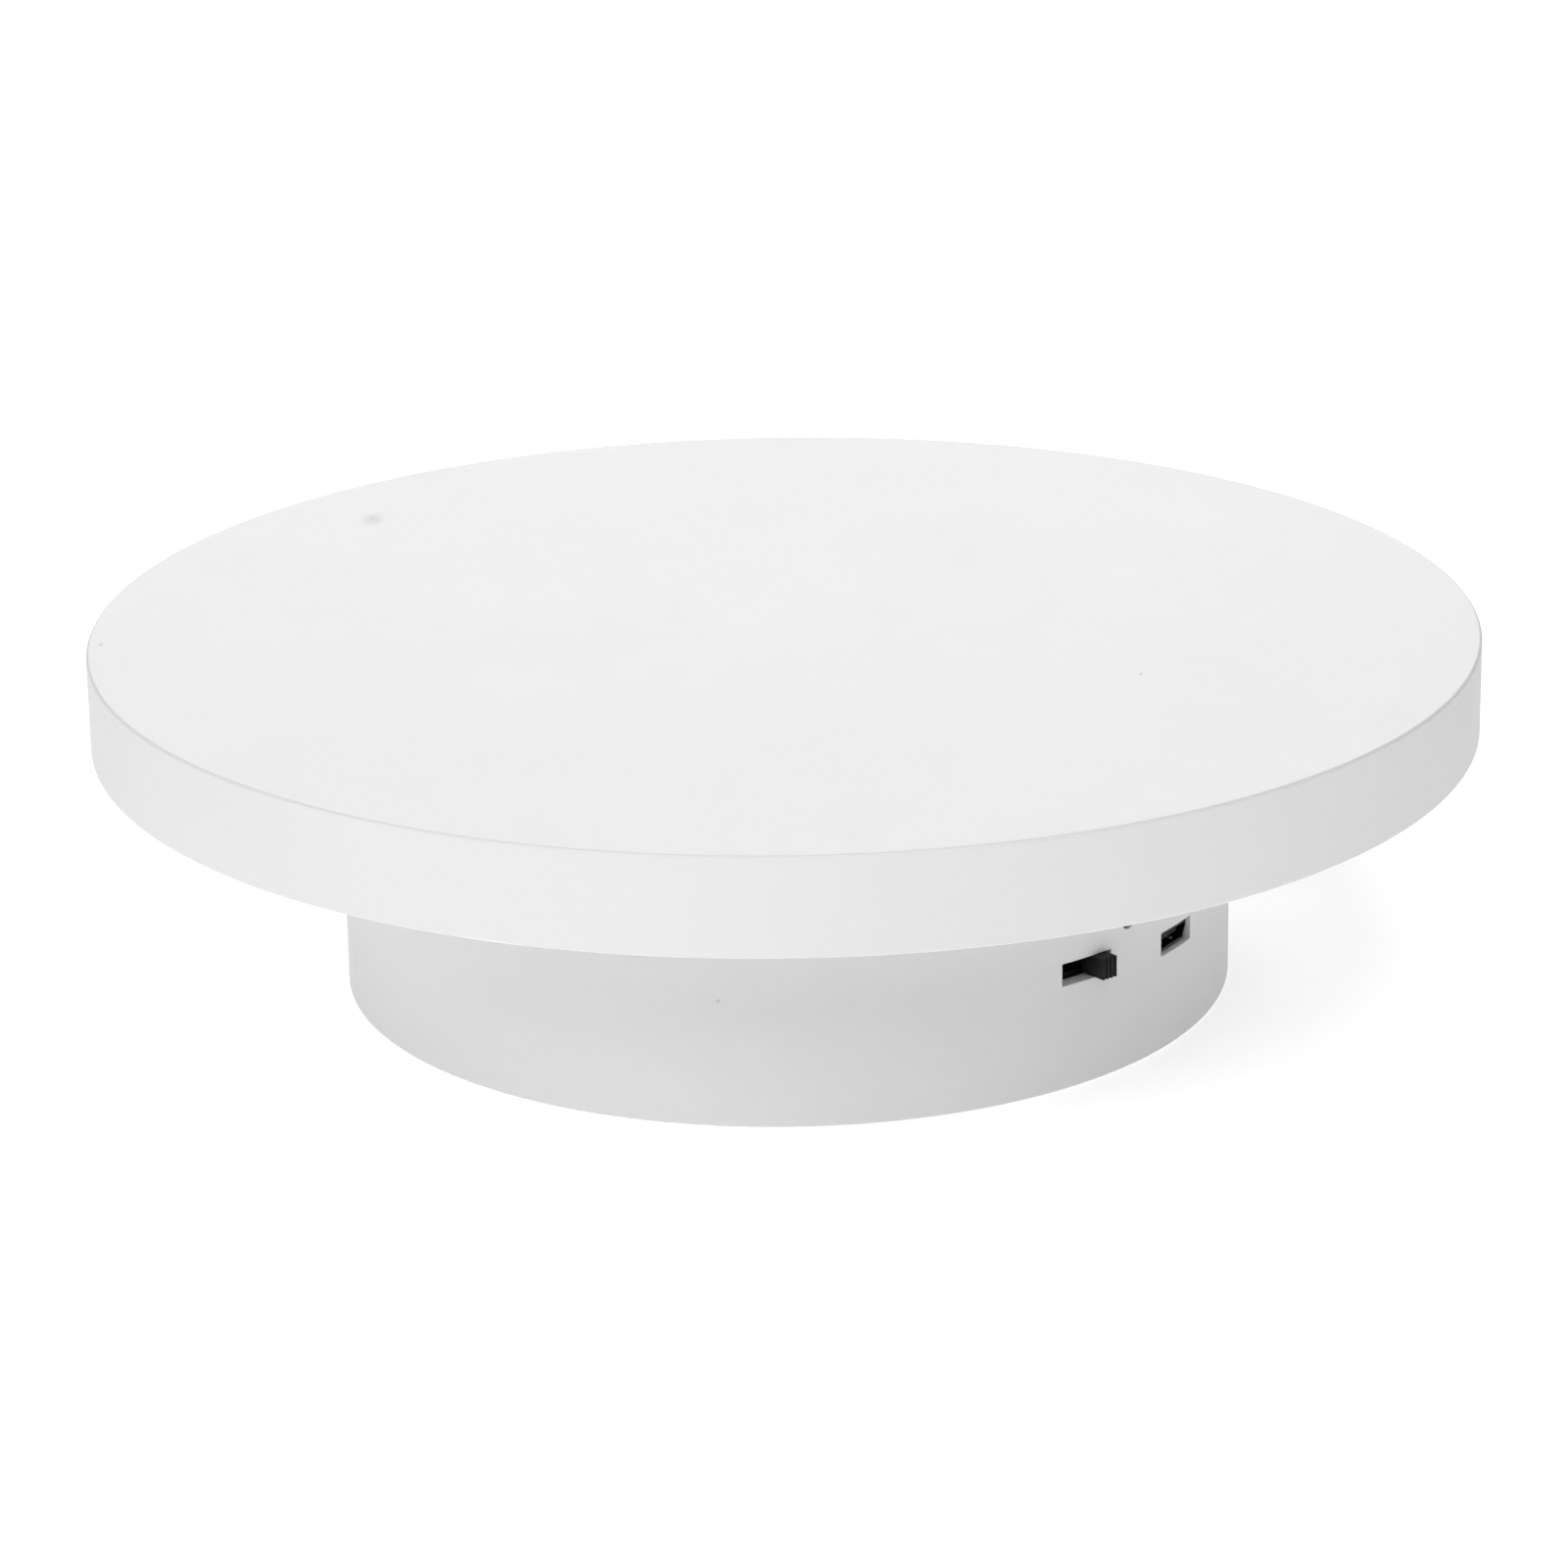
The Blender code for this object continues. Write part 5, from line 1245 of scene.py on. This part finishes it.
def battery():
    half = CELL_HALF_LENGTH
    corners = [
        (0.0, half - 0.2),
        (6.4, half - 0.2, 0.1),
        (6.8, half, 0.15),
        (CELL_RADIUS, half, 1.0),
        (CELL_RADIUS, half - 2.4, 0.3),
        (CELL_RADIUS - 0.25, half - 3.0, 0.4),
        (CELL_RADIUS, half - 3.8, 0.4),
        (CELL_RADIUS, -half, 1.0),
        (6.8, -half, 0.15),
        (6.4, 0.2 - half, 0.1),
        (0.0, 0.2 - half),
    ]
    cell = turned("fine_battery_cell", corners, CAN_SIDES)
    place = at(CELL_X, 0.0, CELL_HEIGHT) @ pointing(0.0)
    show(cell, "base", "cell_sleeve", place)
    corners = [
        (0.0, half + 1.2),
        (3.0, half + 1.2, 0.4),
        (3.0, half + 0.3),
        (5.6, half + 0.1, 0.1),
        (5.6, half - 0.15),
        (0.0, half - 0.15),
    ]
    button = turned("battery_button", corners)
    show(button, "base", "steel", place)
    wide = CELL_RADIUS + 1.6
    long = half - 6.0
    trough = arc(AXIS, CELL_RADIUS + GAP, 192.0, 348.0, 24)
    under = COVER_TOP + GAP - CELL_HEIGHT
    outline = [(-wide, -2.0), (-wide, under), (wide, under), (wide, -2.0), *trough[::-1]]
    cradle = slab("fine_battery_cradle", orient(outline), -long, long, 0.2, 2)
    show(cradle, "base", "inner_abs", place)


def lead(node, points, slot):
    """An insulated wire through points."""
    curve = bpy.data.curves.new(FINE + node, "CURVE")
    curve.dimensions = "3D"
    curve.bevel_depth = 0.6 * MM
    curve.bevel_resolution = 4
    curve.use_fill_caps = True
    curve.resolution_u = 12
    spline = curve.splines.new("BEZIER")
    spline.bezier_points.add(len(points) - 1)
    for knot, point in zip(spline.bezier_points, points):
        knot.co = [value * MM for value in point]
        knot.handle_left_type = "AUTO"
        knot.handle_right_type = "AUTO"
    wire = bpy.data.objects.new(FINE + node, curve)
    bpy.context.scene.collection.objects.link(wire)
    show(wire, "base", slot)


def onto_board(angle):
    """The last points of a lead, which climbs past the board's inner edge and bends down onto its top."""
    climb = (*around(37.6, angle), BOARD_TOP - 6.0)
    crest = (*around(41.6, angle), BOARD_TOP + 3.4)
    pad = (*around(45.0, angle), BOARD_TOP + 1.0)
    return [climb, crest, pad]


def leads():
    x, y = MOTOR_CENTRE
    floor = COVER_TOP + 1.4
    tab = GEARBOX_FLOOR - 14.3
    for number, side, angle, slot in ((1, -1.0, 54.0, "red_pvc"), (2, 1.0, 59.0, "black_pvc")):
        start = (x + side * MOTOR_TAB, y - 7.7, tab)
        along = [(x + side * 3.0, y - 14.0, floor), (36.0 + side * 1.6, -8.0, floor)]
        lead(f"motor_lead_{number}", [start, *along, *onto_board(angle)], slot)
    ends = CELL_HALF_LENGTH + 2.2
    front = [(CELL_X, -ends, CELL_HEIGHT), (-32.0, -40.0, 7.5), (-18.0, -42.0, floor), (8.0, -37.0, floor)]
    lead("battery_lead_1", front + onto_board(41.0), "red_pvc")
    back = [(CELL_X, ends, CELL_HEIGHT), (-30.0, 39.0, 7.5), (-21.0, 26.0, floor), (-16.0, 0.0, floor)]
    lead("battery_lead_2", [*back, (4.0, -22.0, floor), *onto_board(47.0)], "black_pvc")


# ---- floor, light and camera

CAMERA_PLACE = (0.0, -786.576, 298.375)
CAMERA_AIM = (-0.289, 0.0, 27.779)
CAMERA_ROLL = -0.8072
CAMERA_LENS = 131.2185
FLOOR_HALF_SIZE = 2500.0
LIGHT_DISTANCE = 2.0
LIGHT_SIZE = 1.4
LIGHT_AIM = (0.0, 0.0, 0.03)


def studio_floor():
    shape = bmesh.new()
    bmesh.ops.create_grid(shape, x_segments=8, y_segments=8, size=FLOOR_HALF_SIZE * MM)
    floor = new_object("floor", shape)
    made, tree, shader = new_material("floor_look")
    tint = mix(tree, noise(tree, 400.0), grey(0.9), grey(0.88))
    feed(tree, shader, colour=tint)
    shader.inputs["Roughness"].default_value = 0.9
    shader.inputs["Specular IOR Level"].default_value = 0.0
    shader.inputs["Emission Color"].default_value = (1.0, 1.0, 1.0, 1.0)
    shader.inputs["Emission Strength"].default_value = 0.46
    floor.data.materials.append(made)


def soft_light(name, azimuth, elevation, power):
    """A square softbox of this many watts, aimed at the turntable from a direction in degrees."""
    lamp = bpy.data.lights.new(name, "AREA")
    lamp.shape = "SQUARE"
    lamp.size = LIGHT_SIZE
    lamp.energy = power
    obj = bpy.data.objects.new(name, lamp)
    rise = math.radians(elevation)
    out = around(LIGHT_DISTANCE * math.cos(rise), azimuth)
    obj.location = (*out, LIGHT_DISTANCE * math.sin(rise))
    obj.rotation_euler = (Vector(LIGHT_AIM) - obj.location).to_track_quat("-Z", "Y").to_euler()
    bpy.context.scene.collection.objects.link(obj)


def studio():
    scene = bpy.context.scene
    world = bpy.data.worlds.new("studio")
    world.use_nodes = True
    sky = world.node_tree.nodes["Background"]
    sky.inputs["Color"].default_value = (1.0, 1.0, 1.0, 1.0)
    sky.inputs["Strength"].default_value = 0.1
    scene.world = world
    soft_light("front", 0.0, 50.0, 19.3)
    soft_light("left", -60.0, 20.0, 8.0)
    soft_light("top", 0.0, 89.0, 9.8)
    soft_light("back", 180.0, 20.0, 20.3)
    scene.view_settings.view_transform = "Standard"


def camera():
    """The camera at its place, looking at its aim and rolled a little about that line."""
    scene = bpy.context.scene
    place = Vector(CAMERA_PLACE)
    forward = (Vector(CAMERA_AIM) - place).normalized()
    right = forward.cross(Vector((0.0, 0.0, 1.0))).normalized()
    level = Matrix((right, right.cross(forward), -forward)).transposed()
    turn = (level @ Matrix.Rotation(math.radians(CAMERA_ROLL), 3, "Z")).to_4x4()
    lens = bpy.data.cameras.new("camera")
    lens.lens = CAMERA_LENS
    lens.sensor_width = 36.0
    lens.clip_start = 0.01
    obj = bpy.data.objects.new("camera", lens)
    obj.matrix_world = Matrix.Translation(place * MM) @ turn
    scene.collection.objects.link(obj)
    scene.camera = obj


platter()
base_housing()
bottom_cover()
feet()
fixings()
ball_race()
centre_bearing()
ring_gear()
gearbox()
gear_train()
motor()
control_board()
slide_switch()
switch_knob()
usb_socket()
led_indicator()
battery()
leads()
studio_floor()
studio()
camera()
